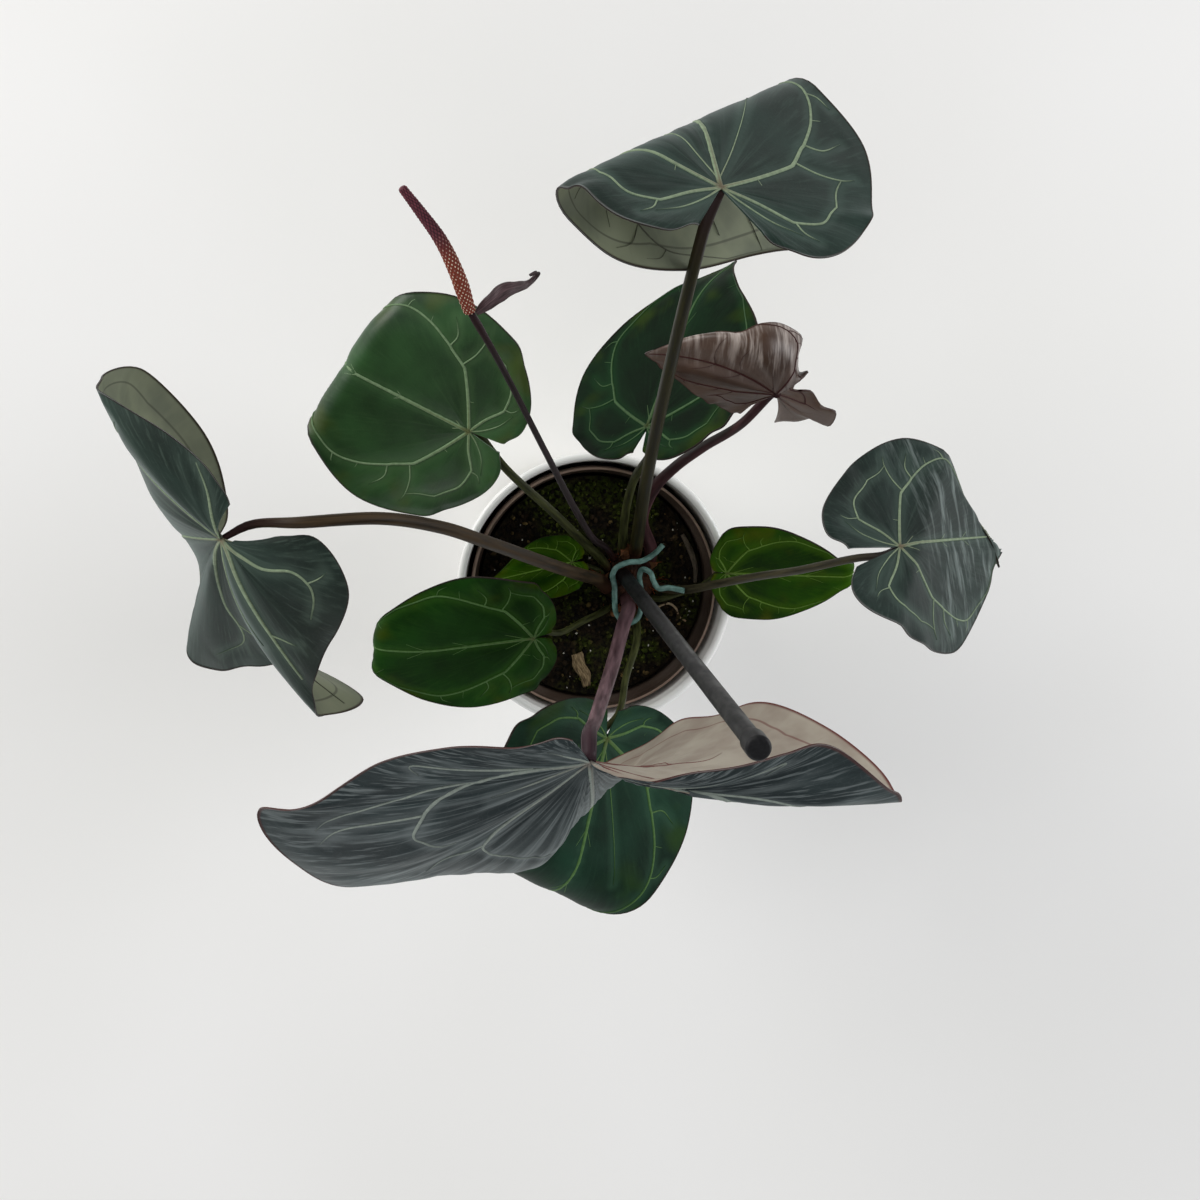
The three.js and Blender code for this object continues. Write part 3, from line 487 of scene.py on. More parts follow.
# %% [markdown]
# ## Leaves as they are folded
# A heart leaf can be drawn flat and then bent, which is how most of these blades are made: the flat outline
# is rolled round a rod at each fold and then turned to face the light. Three blades hang in deeper folds
# than that. For them the ribs are drawn in space, each as a curve from the hub through a middle point to
# the margin. Every blade is then one surface with two numbers: across counts from the left side of the
# notch round the tip to its right side, and out counts from the hub to the margin.

# %% The outline that the leaves share
# Half of a flat leaf from its tip to its notch, across in half widths and ahead in lengths or lobe lengths
HALF_OUTLINE = [
    (0, 1), (0.1, 0.9), (0.36, 0.74), (0.76, 0.53), (1.0, 0.29), (0.93, 0.03), (0.74, -0.42),
    (0.48, -0.88), (0.24, -1.0), (0.06, -0.78),
]
THICKNESS = 0.8
# What a leaf has when its entry doesn't say: the ruffle's height and count, and how far the lamina swells
PLAIN_RUFFLE = (0.5, 11)
PLAIN_PUFF = 0.35
# Closest to the hub that the direction of a blade is asked for, as a share of the way out
NEAR_HUB = 0.04
LEAVES = {}
print("points on half an outline:", len(HALF_OUTLINE))

# %% The two velvet leaves at the rear and the left
LEAVES["rear_velvet"] = dict(
    hub=[21, 189, 370], turn=[97, -45, 22], size=[145, 70, 28, 0.42], folds=[[-37, 22, 13.5, 150]],
    wave=[1.5, 4], puff=0.4, streaks=0.08, ruffle=[1.0, 9],
    stalk=[
        [21.5, 14.5, 104], [19.5, 24, 130], [17, 44, 167], [15, 65, 205], [14, 102, 262], [15, 157, 340],
    ],
    radii=[3.4, 3, 2.8, 2.7, 2.5, 2.2],
    finish=(SMOOTH_VELVET, OLIVE_BACK, PALE_VEIN, DARK_VEIN, "leaf_velvet"), stalk_finish="olive",
)
LEAVES["left_velvet"] = dict(
    hub=[-168, 53, 310], face=[-0.77, -0.54, 0.34], size=[150, 75, 50, 0],
    ribs=[
        [[4, -1, 3], [12, -2, 7]], [[17, -2, 9], [36, 2, 12]], [[23, -11, 8], [49, -18, 6]],
        [[20, -22, 3], [45, -39, -8]], [[17, -30, -2], [34, -64, -28]], [[10, -40, -18], [38, -82, -48]],
        [[12, -46, -48], [54, -81, -72]], [[4, -43, -70], [23, -71, -102]],
        [[-4, -38, -70], [0, -75, -120]], [[-9, -27, -48], [-16, -76, -130]],
        [[-11, -23, -52], [-24, -67, -120]], [[-10, -17, -48], [-17, -43, -98]],
        [[-16, -9, -50], [-8, -16, -98]], [[-24, 4, -44], [-2, 7, -86]], [[-31, 19, -32], [-10, 37, -63]],
        [[-35, 33, -18], [-33, 65, -36]], [[-33, 32, -4], [-47, 63, -14]], [[-24, 26, 6], [-41, 56, 0]],
        [[-11, 18, 9], [-20, 43, 10]], [[-4, 12, 9], [-3, 28, 15]], [[-1, 6, 6], [4, 15, 12]],
    ],
    tip=10, wave=[0.8, 5], puff=0.4, streaks=0.1, ruffle=[1.2, 12],
    stalk=[
        [8, -2, 104], [1, 6, 126], [-9, 12, 150], [-33, 28, 215], [-63, 45, 265], [-81, 54, 290],
        [-106, 61, 315], [-137, 61, 325],
    ],
    radii=[3.5, 3.1, 3, 2.9, 2.8, 2.7, 2.6, 2.4, 1.2],
    finish=(VELVET, OLIVE_BACK, PALE_VEIN, DARK_VEIN, "leaf_velvet"), stalk_finish="brown",
)
print("leaves so far:", len(LEAVES))

# %% The large front leaf
LEAVES["front_quilted"] = dict(
    hub=[-31, -20, 400], face=[0, -0.89, 0.45], size=[180, 120, 75, 0],
    ribs=[
        [[3, -2, 2], [10, -5, 4]], [[24, -8, 1], [46, -4, 4]], [[37, -10, -1], [74, 1, 2]],
        [[42, -12, -3], [95, 1, -4]], [[59, -18, -6], [122, -22, -20]], [[62, -17, -28], [123, -20, -50]],
        [[55, -16, -55], [109, -12, -92]], [[44, -17, -70], [86, -7, -120]],
        [[29, -19, -70], [58, -16, -142]], [[15, -23, -60], [34, -32, -160]],
        [[6, -31, -55], [14, -47, -175]], [[-4, -41, -55], [-3, -51, -158]],
        [[-15, -53, -52], [-25, -60, -135]], [[-35, -50, -44], [-52, -61, -108]],
        [[-52, -44, -34], [-88, -64, -76]], [[-61, -38, -22], [-110, -49, -54]],
        [[-61, -21, -12], [-124, -26, -32]], [[-51, -10, -6], [-98, -15, -16]],
        [[-41, -4, -1], [-76, 2, -4]], [[-26, 2, 4], [-53, 8, 4]], [[-12, 5, 7], [-27, 9, 10]],
        [[-3, 5, 4], [-7, 10, 8]],
    ],
    tip=10, wave=[1.2, 5], puff=0.5, streaks=0.4, fine=1.8, ruffle=[2.2, 9],
    stalk=[
        [17.5, -5, 104], [16, -9, 126], [11, -12, 150], [-2, -18, 220], [-14, -18, 290], [-25, -14, 360],
    ],
    radii=[3.7, 3.3, 3.2, 3.1, 3, 2.8, 2.5],
    finish=(SLATE, ROSE_BACK, SLATE_VEIN, RED_VEIN, "leaf_velvet"), stalk_finish="mauve",
)
print("leaves so far:", len(LEAVES))

# %% The two green leaves at the rear
LEAVES["left_green"] = dict(
    hub=[-65, 86, 210], turn=[152.5, -1, -21], size=[109, 53, 21, -0.05],
    folds=[[5, 54, 7, 130], [62, 43, 43, 36]], wave=[1, 4], puff=0.7,
    stalk=[[8.2, 8, 104], [2, 16.5, 122], [-8, 27, 140], [-25, 45, 170], [-49, 69, 198]],
    radii=[2.4, 2.1, 2, 1.9, 1.8], finish=(SATIN, GREEN_BACK, LIGHT_VEIN, GREEN_VEIN, "leaf_green"),
    stalk_finish="green",
)
LEAVES["rear_green"] = dict(
    hub=[16, 86, 197], turn=[65, -26, -56], size=[106, 52, 17, 0],
    folds=[[12, 57, 53, 31], [29, 92, 7, 98]], wave=[1, 4],
    stalk=[[15.2, 15.6, 104], [14, 23, 118], [13, 38, 136], [14, 59, 165]], radii=[2.4, 2.1, 2, 1.9, 1.8],
    finish=(DEEP, GREEN_BACK, DEEP_VEIN, GREEN_VEIN, "leaf_green"), stalk_finish="green",
)
print("leaves so far:", len(LEAVES))

# %% The young bronze leaf
LEAVES["bronze_new"] = dict(
    hub=[63, 105, 260], face=[-0.3, -0.35, 0.89], size=[60, 30, 22, 0],
    ribs=[
        [[-6, -3, -9], [-11, -9, -20]], [[-7, -4, -11], [-16, -9, -22]], [[-10, -3, -10], [-22, -6, -20]],
        [[-15, 0, -6], [-32, -1, -16]], [[-21, 4, -3], [-42, 7, -12]], [[-25, 8, -1], [-50, 13, -10]],
        [[-26, 13, 0], [-55, 17, -9]], [[-25, 17, 5], [-47, 20, -4]], [[-21, 20, 9], [-37, 24, 1]],
        [[-15, 20, 12], [-26, 26, 5]], [[-10, 18, 13], [-17, 27, 8]], [[-6, 18, 14], [-8, 30, 8]],
        [[-1, 17, 12], [1, 30, 4]], [[4, 15, 10], [11, 24, -2]], [[6, 11, 7], [10, 17, -10]],
        [[6, 6, 4], [11, 9, -7]], [[7, 4, 1], [14, 9, -1]], [[4, 2, 0], [8, 2, -2]],
        [[8, 0, -4], [16, 1, -5]], [[11, -3, -7], [22, -6, -11]], [[14, -6, -10], [29, -9, -14]],
        [[13, -8, -14], [28, -16, -24]], [[10, -8, -13], [21, -12, -22]], [[7, -7, -13], [13, -14, -26]],
        [[3, -7, -11], [4, -14, -25]],
    ],
    tip=6, wave=[0.5, 6],
    stalk=[
        [28.3, 7.5, 103], [28.5, 18.5, 112.5], [22, 35, 129], [25, 52, 149], [32, 65, 172], [41, 77, 200],
        [53, 91, 236],
    ],
    radii=[3.4, 3.1, 2.9, 2.6, 2.4, 2.2, 2, 1.9],
    finish=(BRONZE, BRONZE_BACK, WINE_VEIN, WINE_VEIN, "leaf_bronze"), stalk_finish="wine",
)
print("leaves so far:", len(LEAVES))

# %% The two leaves at the right
LEAVES["right_velvet"] = dict(
    hub=[107, 45, 305], turn=[7.5, -22, -32], size=[86, 47, 30, 0.06],
    folds=[[40, 7, 5, 33], [-44, 48, 18, 56]], wave=[0.8, 4], puff=0.5, streaks=0.12, ruffle=[1.0, 8],
    stalk=[
        [28.5, 0.5, 103], [35, -0.5, 115], [43, 1, 130], [54, 10, 170], [66, 19, 208], [77, 27, 245],
        [94, 38, 286],
    ],
    radii=[2.3, 2, 1.9, 1.8, 1.7, 1.6], finish=(BARRED_VELVET, OLIVE_BACK, PALE_VEIN, DARK_VEIN, "leaf_velvet"),
    stalk_finish="dark",
)
LEAVES["right_small"] = dict(
    hub=[62, 10.5, 140], turn=[-1, 12, 30], size=[74, 28, 8, -0.1],
    folds=[[-14, 54, 5, 130], [26, 52, 22, 58]], wave=[0.8, 3],
    stalk=[[27.5, -5.5, 104], [33, -6.5, 111], [41, -3.5, 116], [52, 2, 124.5]],
    radii=[1.6, 1.4, 1.3, 1.2, 1.2], finish=(YOUNG, GREEN_BACK, YOUNG_VEIN, GREEN_VEIN, "leaf_young"),
    stalk_finish="green",
)
print("leaves so far:", len(LEAVES))

# %% The low and hidden leaves
LEAVES["left_low"] = dict(
    hub=[-33, -16, 160], turn=[185.5, 4, -34], size=[101, 40, 11, 0],
    folds=[[8, 70, 7, 79], [43, 32, 38, 76]], wave=[1.2, 4],
    stalk=[[11.5, -9.5, 104], [3, -12.5, 115], [-5, -14, 125], [-20, -17, 143]],
    radii=[1.9, 1.6, 1.5, 1.4, 1.4], finish=(GREEN, GREEN_BACK, GREEN_VEIN, GREEN_VEIN, "leaf_green"),
    stalk_finish="green",
)
LEAVES["front_green"] = dict(
    hub=[-4, -54, 210], turn=[257, 4, -32], size=[141, 60, 17, 0], folds=[[17, 52, 20, 98]], wave=[1, 4],
    stalk=[[21, -12, 103], [21, -18, 118], [19, -23, 135], [10, -34, 168], [3, -46, 196]],
    radii=[2.2, 1.9, 1.8, 1.7, 1.6, 1.6], finish=(TEAL, GREEN_BACK, GREEN_VEIN, GREEN_VEIN, "leaf_green"),
    stalk_finish="green",
)
LEAVES["lowest_small"] = dict(
    hub=[-11, 14, 121], turn=[193, -3, 6], size=[44, 15, 7, 0], folds=[[0, 30, 20, 15]], wave=[0.5, 3],
    stalk=[[7, 3.6, 104], [2, 9, 112]], radii=[1.3, 1.1, 1],
    finish=(YOUNG, GREEN_BACK, YOUNG_VEIN, GREEN_VEIN, "leaf_young"), stalk_finish="green",
)
print("leaves:", len(LEAVES))

# %% The flat outline
def on_outline(size, across):
    """The flat outline, ahead along y; across runs from 0 to 1."""
    length, half_width, lobe, splay = size
    across = np.asarray(across, dtype=float)
    half_points = np.array(HALF_OUTLINE, dtype=float)
    half_points[:, 0] = half_points[:, 0] * half_width + splay * lobe * np.maximum(0, -half_points[:, 1])
    half_points[:, 1] *= np.where(half_points[:, 1] > 0, length, lobe)
    half = through(half_points, np.abs(2 * across - 1) * (len(HALF_OUTLINE) - 1))
    x = half[..., 0] * np.where(across < 0.5, -1, 1)
    return np.stack([x, half[..., 1], np.zeros_like(x)], axis=-1)


for leaf_name, leaf in LEAVES.items():
    width, length, _ = np.ptp(on_outline(leaf["size"], np.linspace(0, 1, 200)), axis=0)
    print(leaf_name, "lies flat in", round(length), "x", round(width), "mm")


# %% Folding a sheet round a rod
def rolled(points, fold):
    """Rolls what lies past a straight crease round a rod; a positive angle rolls it down."""
    way, distance, radius, angle = fold
    ahead = np.array([math.sin(math.radians(way)), math.cos(math.radians(way))])
    past = points[..., :2] @ ahead - distance
    down = math.copysign(1, angle)
    turn = np.clip(past / radius, 0, abs(math.radians(angle)))
    rest = past - radius * turn
    z = points[..., 2]
    along = radius * np.sin(turn) + rest * np.cos(turn) + down * z * np.sin(turn)
    drop = radius * (1 - np.cos(turn)) + rest * np.sin(turn)
    bent = points.copy()
    bent[..., :2] += (along - past)[..., None] * ahead
    bent[..., 2] = z * np.cos(turn) - down * drop
    return np.where((past > 0)[..., None], bent, points)


print("folded flat at 10 mm:", rolled(np.array([[0.0, 20.0, 0.0]]), (0, 10, 0.1, 180)).round(1))


# %% The folded blade in the frame of the part
def turned_frame(turn):
    """A blade's own x to the right of its midrib, y along it and z out of its upper face, as columns."""
    heading, nose, roll = (math.radians(a) for a in turn)
    ahead = np.array([math.cos(heading) * math.cos(nose), math.sin(heading) * math.cos(nose), math.sin(nose)])
    level = np.array([math.sin(heading), -math.cos(heading), 0.0])
    right = level * math.cos(roll) + np.cross(ahead, level) * math.sin(roll)
    return np.stack([right, ahead, np.cross(right, ahead)], axis=1)


def sheet(leaf, across, out):
    """The folded surface before its waves, in the frame of the part."""
    across, out = np.broadcast_arrays(np.asarray(across, dtype=float), np.asarray(out, dtype=float))
    if "ribs" in leaf:
        ribs = np.array(leaf["ribs"], dtype=float)
        tip = leaf["tip"]
        at = np.where(across < 0.5, across * 2 * tip, tip + (across * 2 - 1) * (len(ribs) - 1 - tip))
        middle = through(ribs[:, 0], at)
        end = through(ribs[:, 1], at)
        o = out[..., None]
        return middle * 4 * o * (1 - o) + end * o * (2 * o - 1) + np.array(leaf["hub"], dtype=float)
    points = on_outline(leaf["size"], across) * out[..., None]
    for fold in leaf["folds"]:
        points = rolled(points, fold)
    return points @ turned_frame(leaf["turn"]).T + np.array(leaf["hub"], dtype=float)


for leaf_name, leaf in LEAVES.items():
    print(leaf_name, "has its tip at", sheet(leaf, 0.5, 1.0).round())


# %% Which way is up, and the waves of the margin
def upward(leaf, across, out):
    """The direction that the upper face looks in, from two small steps on the sheet."""
    step = 2e-3
    a = np.clip(across, step, 1 - step)
    o = np.clip(out, NEAR_HUB, 1 - step)
    along_margin = sheet(leaf, a + step, o) - sheet(leaf, a - step, o)
    outward = sheet(leaf, a, o + step) - sheet(leaf, a, o - step)
    return unit(np.cross(along_margin, outward))


def blade_at(leaf, across, out, lift=0.0):
    """A point on the waved blade, lifted off its middle by so many millimetres."""
    across, out = np.broadcast_arrays(np.asarray(across, dtype=float), np.asarray(out, dtype=float))
    height, count = leaf["wave"]
    wave = height * out**3 * np.sin(count * TAU * across)
    height, count = leaf.get("ruffle", PLAIN_RUFFLE)
    off_tip = np.clip(np.abs(across - 0.5) * 9 - 0.2, 0, 1)
    wave = wave + height * off_tip * out**8 * np.sin(count * TAU * across + 2 * np.sin(5 * TAU * across))
    return sheet(leaf, across, out) + upward(leaf, across, out) * (wave + lift)[..., None]


print("first leaf at its hub:", blade_at(LEAVES["rear_velvet"], [0.5], [NEAR_HUB]).round(1))

# %% [markdown]
# ## Veins
# The veins of a heart leaf fan out from the hub: a midrib, a strong one on each side that turns at two
# elbows to run beside the margin, one that loops round each lobe to meet a branch of the first, and a short
# one behind. At each elbow a finer branch leaves and soon fades. A texture could show them, but real ridges
# also catch the light, so each vein is a slim closed ridge that follows the blade. It is drawn once on a
# flat leaf, in half widths and lengths, and carried onto every blade by its share of the way round and out.

# %% Vein paths on a flat leaf: points, half width at the hub and at the end, and how far it has faded there
PLAIN_LEAF = (104, 52, 21, 0)
USUAL_LENGTH = 105
MAIN_VEINS = [
    ([(0, 0), (0, 0.5), (0, 0.97)], 1.05, 0.4, 0.6),
    ([(0, 0), (0.24, 0.06), (0.46, 0.125), (0.51, 0.15), (0.58, 0.21), (0.62, 0.24), (0.71, 0.34),
      (0.73, 0.45), (0.62, 0.56), (0.42, 0.72), (0.2, 0.86)], 0.85, 0.3, 0.9),
    ([(0, 0), (0.16, -0.18), (0.29, -0.4), (0.34, -0.44), (0.5, -0.38), (0.62, -0.14), (0.71, 0.04),
      (0.78, 0.11)], 0.7, 0.25, 0.7),
]
SIDE_VEINS = [
    ([(0.51, 0.15), (0.64, 0.12), (0.78, 0.11), (0.87, 0.12)], 0.4, 0.18, 1.0),
    ([(0.6, 0.23), (0.72, 0.22), (0.85, 0.26)], 0.4, 0.15, 1.0),
    ([(0.73, 0.45), (0.8, 0.44), (0.86, 0.4)], 0.26, 0.12, 1.0),
    ([(0.33, -0.43), (0.34, -0.6), (0.4, -0.72)], 0.34, 0.14, 1.0),
    ([(0, 0), (0.07, -0.25), (0.18, -0.5), (0.32, -0.66)], 0.42, 0.15, 1.0),
    ([(0, 0.03), (0.14, 0.16), (0.3, 0.34), (0.4, 0.48)], 0.26, 0.1, 1.0),
]
FAINT_VEINS = [
    ([(0, 0.3), (0.2, 0.46), (0.42, 0.6)], 0.16, 0.08, 0.8),
    ([(0, 0.5), (0.16, 0.64), (0.34, 0.76)], 0.16, 0.08, 0.8),
    ([(0.24, 0.06), (0.33, -0.08), (0.38, -0.28)], 0.14, 0.08, 0.9),
    ([(0.71, 0.34), (0.84, 0.34), (0.93, 0.3)], 0.14, 0.08, 1.0),
]
print("vein paths:", len(MAIN_VEINS + SIDE_VEINS + FAINT_VEINS))

# %% The two largest blades are too deeply folded for that: their veins are given straight as across and out
LEFT_VEINS = [
    ([(0.21, 0), (0.222, 0.2), (0.22, 0.46), (0.217, 0.63), (0.214, 0.9)], 1.2, 0.5, 0.6),
    ([(0.3, 0), (0.3, 0.4), (0.29, 0.7), (0.28, 0.96)], 1.0, 0.4, 0.7),
    ([(0.15, 0), (0.127, 0.18), (0.12, 0.35), (0.1, 0.56), (0.11, 0.7), (0.128, 0.77), (0.152, 0.8)
     ], 0.8, 0.3, 0.8),
    ([(0.46, 0), (0.45, 0.2), (0.4, 0.46), (0.375, 0.61), (0.383, 0.78), (0.43, 0.9)], 0.8, 0.25, 0.9),
    ([(0.97, 0), (0.96, 0.3), (0.95, 0.7), (0.93, 0.95)], 0.8, 0.3, 0.8),
    ([(0.8, 0), (0.79, 0.3), (0.77, 0.55), (0.74, 0.7), (0.68, 0.78)], 0.8, 0.3, 0.8),
    ([(0.62, 0), (0.62, 0.4), (0.6, 0.66), (0.55, 0.8)], 0.7, 0.25, 0.9),
    ([(0.26, 0), (0.255, 0.3), (0.24, 0.6)], 0.5, 0.2, 1.0),
    ([(0.217, 0.6), (0.2, 0.7), (0.188, 0.79)], 0.4, 0.15, 1.0),
    ([(0.11, 0.7), (0.1, 0.78), (0.09, 0.86)], 0.36, 0.14, 1.0),
    ([(0.375, 0.61), (0.35, 0.7), (0.33, 0.8)], 0.36, 0.14, 1.0),
    ([(0.77, 0.55), (0.8, 0.68), (0.83, 0.8)], 0.36, 0.14, 1.0),
    ([(0.34, 0), (0.335, 0.35), (0.33, 0.6)], 0.4, 0.15, 1.0),
]
FRONT_VEINS = [
    ([(0.88, 0), (0.876, 0.32), (0.835, 0.43), (0.8, 0.48), (0.765, 0.5), (0.748, 0.52), (0.735, 0.48),
      (0.715, 0.4)], 0.9, 0.35, 0.8),
    ([(0.7, 0), (0.69, 0.15), (0.684, 0.26), (0.668, 0.38), (0.655, 0.41), (0.63, 0.41), (0.59, 0.38)
     ], 0.9, 0.3, 0.8),
    ([(0.885, 0.3), (0.88, 0.52), (0.873, 0.72), (0.868, 0.87), (0.856, 0.76)], 0.5, 0.2, 0.9),
    ([(0.835, 0.43), (0.82, 0.6), (0.797, 0.69), (0.776, 0.77), (0.762, 0.82)], 0.5, 0.2, 0.9),
    ([(0.77, 0.5), (0.767, 0.64), (0.762, 0.75), (0.75, 0.82)], 0.45, 0.2, 0.9),
    ([(0.668, 0.38), (0.68, 0.5), (0.675, 0.62)], 0.4, 0.16, 1.0),
    ([(0.96, 0), (0.955, 0.3), (0.95, 0.6)], 0.4, 0.16, 1.0),
    ([(0.79, 0), (0.78, 0.15), (0.775, 0.3)], 0.4, 0.16, 1.0),
]
LEAVES["left_velvet"]["veins"] = LEFT_VEINS
FRONT_BOTH = FRONT_VEINS + [([(1 - a, o) for a, o in points], *rest) for points, *rest in FRONT_VEINS]
LEAVES["front_quilted"]["veins"] = FRONT_BOTH + [([(0.5, 0), (0.5, 0.5), (0.5, 0.95)], 1.2, 0.5, 0.6)]
print("veins of the two:", len(LEFT_VEINS), len(LEAVES["front_quilted"]["veins"]))


# %% Veins as lines on a blade
def to_blade(points):
    """Flat points, in half widths and lengths, as across and out on any blade."""
    length, half_width, lobe, _ = PLAIN_LEAF
    p = np.array(points, dtype=float)
    p = np.stack([p[:, 0] * half_width, p[:, 1] * np.where(p[:, 1] > 0, length, lobe)], axis=1)
    across = np.linspace(0, 1, 721)
    rim = on_outline(PLAIN_LEAF, across)[:, :2]
    rim_way = np.arctan2(rim[:, 0], rim[:, 1])
    way = np.arctan2(p[:, 0], p[:, 1])
    found = np.interp(way, np.maximum.accumulate(rim_way), across)
    reach = np.linalg.norm(on_outline(PLAIN_LEAF, found)[:, :2], axis=1)
    return found, np.linalg.norm(p, axis=1) / reach


def vein_lines(leaf):
    """The veins of a leaf, each as across, out, half widths and fading along it."""
    scale = min(max(leaf["size"][0] / USUAL_LENGTH, 0.5), 1.2)
    lines = []
    for points, wide, narrow, faded in leaf.get("veins", MAIN_VEINS + SIDE_VEINS + FAINT_VEINS):
        steps = 8 + 5 * len(points)
        run = np.linspace(0, 1, steps)
        p = through(points, run * (len(points) - 1))
        widths = (wide + (narrow - wide) * run) * scale
        if "veins" in leaf:
            sides = [(p[:, 0], p[:, 1])]
        elif points[-1][0] == 0:
            sides = [to_blade(p)]
        else:
            sides = [to_blade(p * (side, 1)) for side in (-1, 1)]
        for across, out in sides:
            lines.append((np.clip(across, 0.002, 0.998), np.clip(out, 0, 0.985), widths, faded * run**1.5))
    return lines


print("veins on the first leaf:", len(vein_lines(LEAVES["rear_velvet"])))

# %% [markdown]
# ## One blade, both faces
# The blade is a closed sheet, a little under a millimetre thick. Between its veins the lamina swells
# slightly, which gives the quilted look, and on the large front leaf the swelling turns into long pleats
# from hub to margin. The height of a pleat is kept as a mark, so that a highlight can be painted on its
# crest and shade painted in its valley.

# %% Pleats, and the swelling between veins
PLEAT_WAVES = [(19, 0.3), (31, 1.9), (47, 4.1)]
FAINTEST_TO_SWELL = 0.3


def pleats(leaf, across, out):
    """Long soft folds from hub to margin, from -1 to 1: three waves round the fan, each with its phase."""
    height = np.zeros(np.broadcast(across, out).shape)
    fine = leaf.get("fine", 1.0)
    for k, (count, phase) in enumerate(PLEAT_WAVES):
        bend = 1.6 * fine * np.sin(4 * out + phase + 7 * across)
        height += np.sin(count * fine * TAU * across + bend + phase) / (1 + 0.7 * k)
    return height / 2.0 * np.clip(out * 5, 0, 1) * np.clip((1 - out) * 8, 0, 1)


def swelling(leaf, across, out, distance):
    """How far the lamina stands up between the veins, in millimetres."""
    puff = leaf.get("puff", PLAIN_PUFF) * np.clip((distance - 1.5) / 5.0, 0, 1) ** 0.7
    return puff * np.clip((1 - out) * 12, 0, 1) + leaf.get("streaks", 0.0) * pleats(leaf, across, out)


def from_veins(leaf, flat, lines):
    """How far each flat point lies from the nearest vein, leaving the faint ones out."""
    nearest = np.full(flat.shape[:2], 1e9)
    for across, out, widths, _ in lines:
        if widths[0] > FAINTEST_TO_SWELL:
            for x, y, _ in on_outline(leaf["size"], across) * out[:, None]:
                nearest = np.minimum(nearest, np.hypot(flat[..., 0] - x, flat[..., 1] - y))
    return nearest


print("swelling far from a vein:", swelling(LEAVES["rear_velvet"], 0.4, 0.5, 20.0).round(2), "mm")


# %% The faces of one side
def fan_faces(fan_steps, out_steps):
    """The faces of one side of a blade, whose points are the hub and then rows, and the edge round it."""
    grid = np.arange(fan_steps * out_steps).reshape(out_steps, fan_steps) + 1
    faces = []
    for r in range(out_steps - 1):
        for j in range(fan_steps - 1):
            faces.append((grid[r, j], grid[r, j + 1], grid[r + 1, j + 1], grid[r + 1, j]))
    for j in range(fan_steps - 1):
        faces.append((0, grid[0, j + 1], grid[0, j]))
    around = [0, *grid[:, 0], *grid[-1, 1:], *grid[-2::-1, -1], 0]
    return faces, list(zip(around, around[1:]))


print("a coarse blade has", len(fan_faces(10, 5)[0]), "faces on one side")

# %% A vein as a slim closed ridge
# Its section: across in half widths, up in half widths or down in millimetres, and 1 on its middle line
VEIN_SECTION = [
    (-1.0, -0.3, 0), (-0.55, 0.3, 0), (0.0, 0.22, 1), (0.55, 0.3, 0), (1.0, -0.3, 0), (0.0, -0.5, 0),
]
VEIN_LIFT = 0.2


def vein_ridges(gather, leaf, lines, face, slot, scale=1.0):
    """Slim closed ridges on the upper face (1) or the underside (-1)."""
    sides = len(VEIN_SECTION)
    for across, out, widths, fade in lines:
        lift = THICKNESS / 2 + VEIN_LIFT + face * swelling(leaf, across, out, 0.0)
        seat = blade_at(leaf, across, out, face * lift)
        normal = upward(leaf, across, out) * face
        side = unit(np.cross(unit(np.gradient(seat, axis=0)), normal))
        width = (widths * scale)[:, None]
        rings = []
        for x, z, _ in VEIN_SECTION:
            rings.append(seat + side * width * x + normal * (width * max(z, 0) + min(z, 0)))
        points, faces = ring_body(np.stack(rings, axis=1))
        flat = on_outline(leaf["size"], across) * out[:, None]
        middle = [on_middle for _, _, on_middle in VEIN_SECTION]

        def ringed(values):
            """One value for each ring, on all of its points and then on the two ends."""
            each = np.repeat(values, sides, axis=0)
            return np.concatenate([each, each[[0, -1]]])

        gather.add(
            points,
            faces,
            slot,
            fade=ringed(fade),
            middle=np.concatenate([np.tile(middle, len(seat)), [0, 0]]),
            vein=0.0,
            crest=0.0,
            reach=ringed(out),
            flat=ringed(flat),
            fan=np.zeros((len(points), 3)),
        )


print("points in a vein's section:", len(VEIN_SECTION))

# %% Build the blades
LARGE_BLADE = 130
LARGE_GRID = (220, 60)
SMALL_GRID = (150, 40)


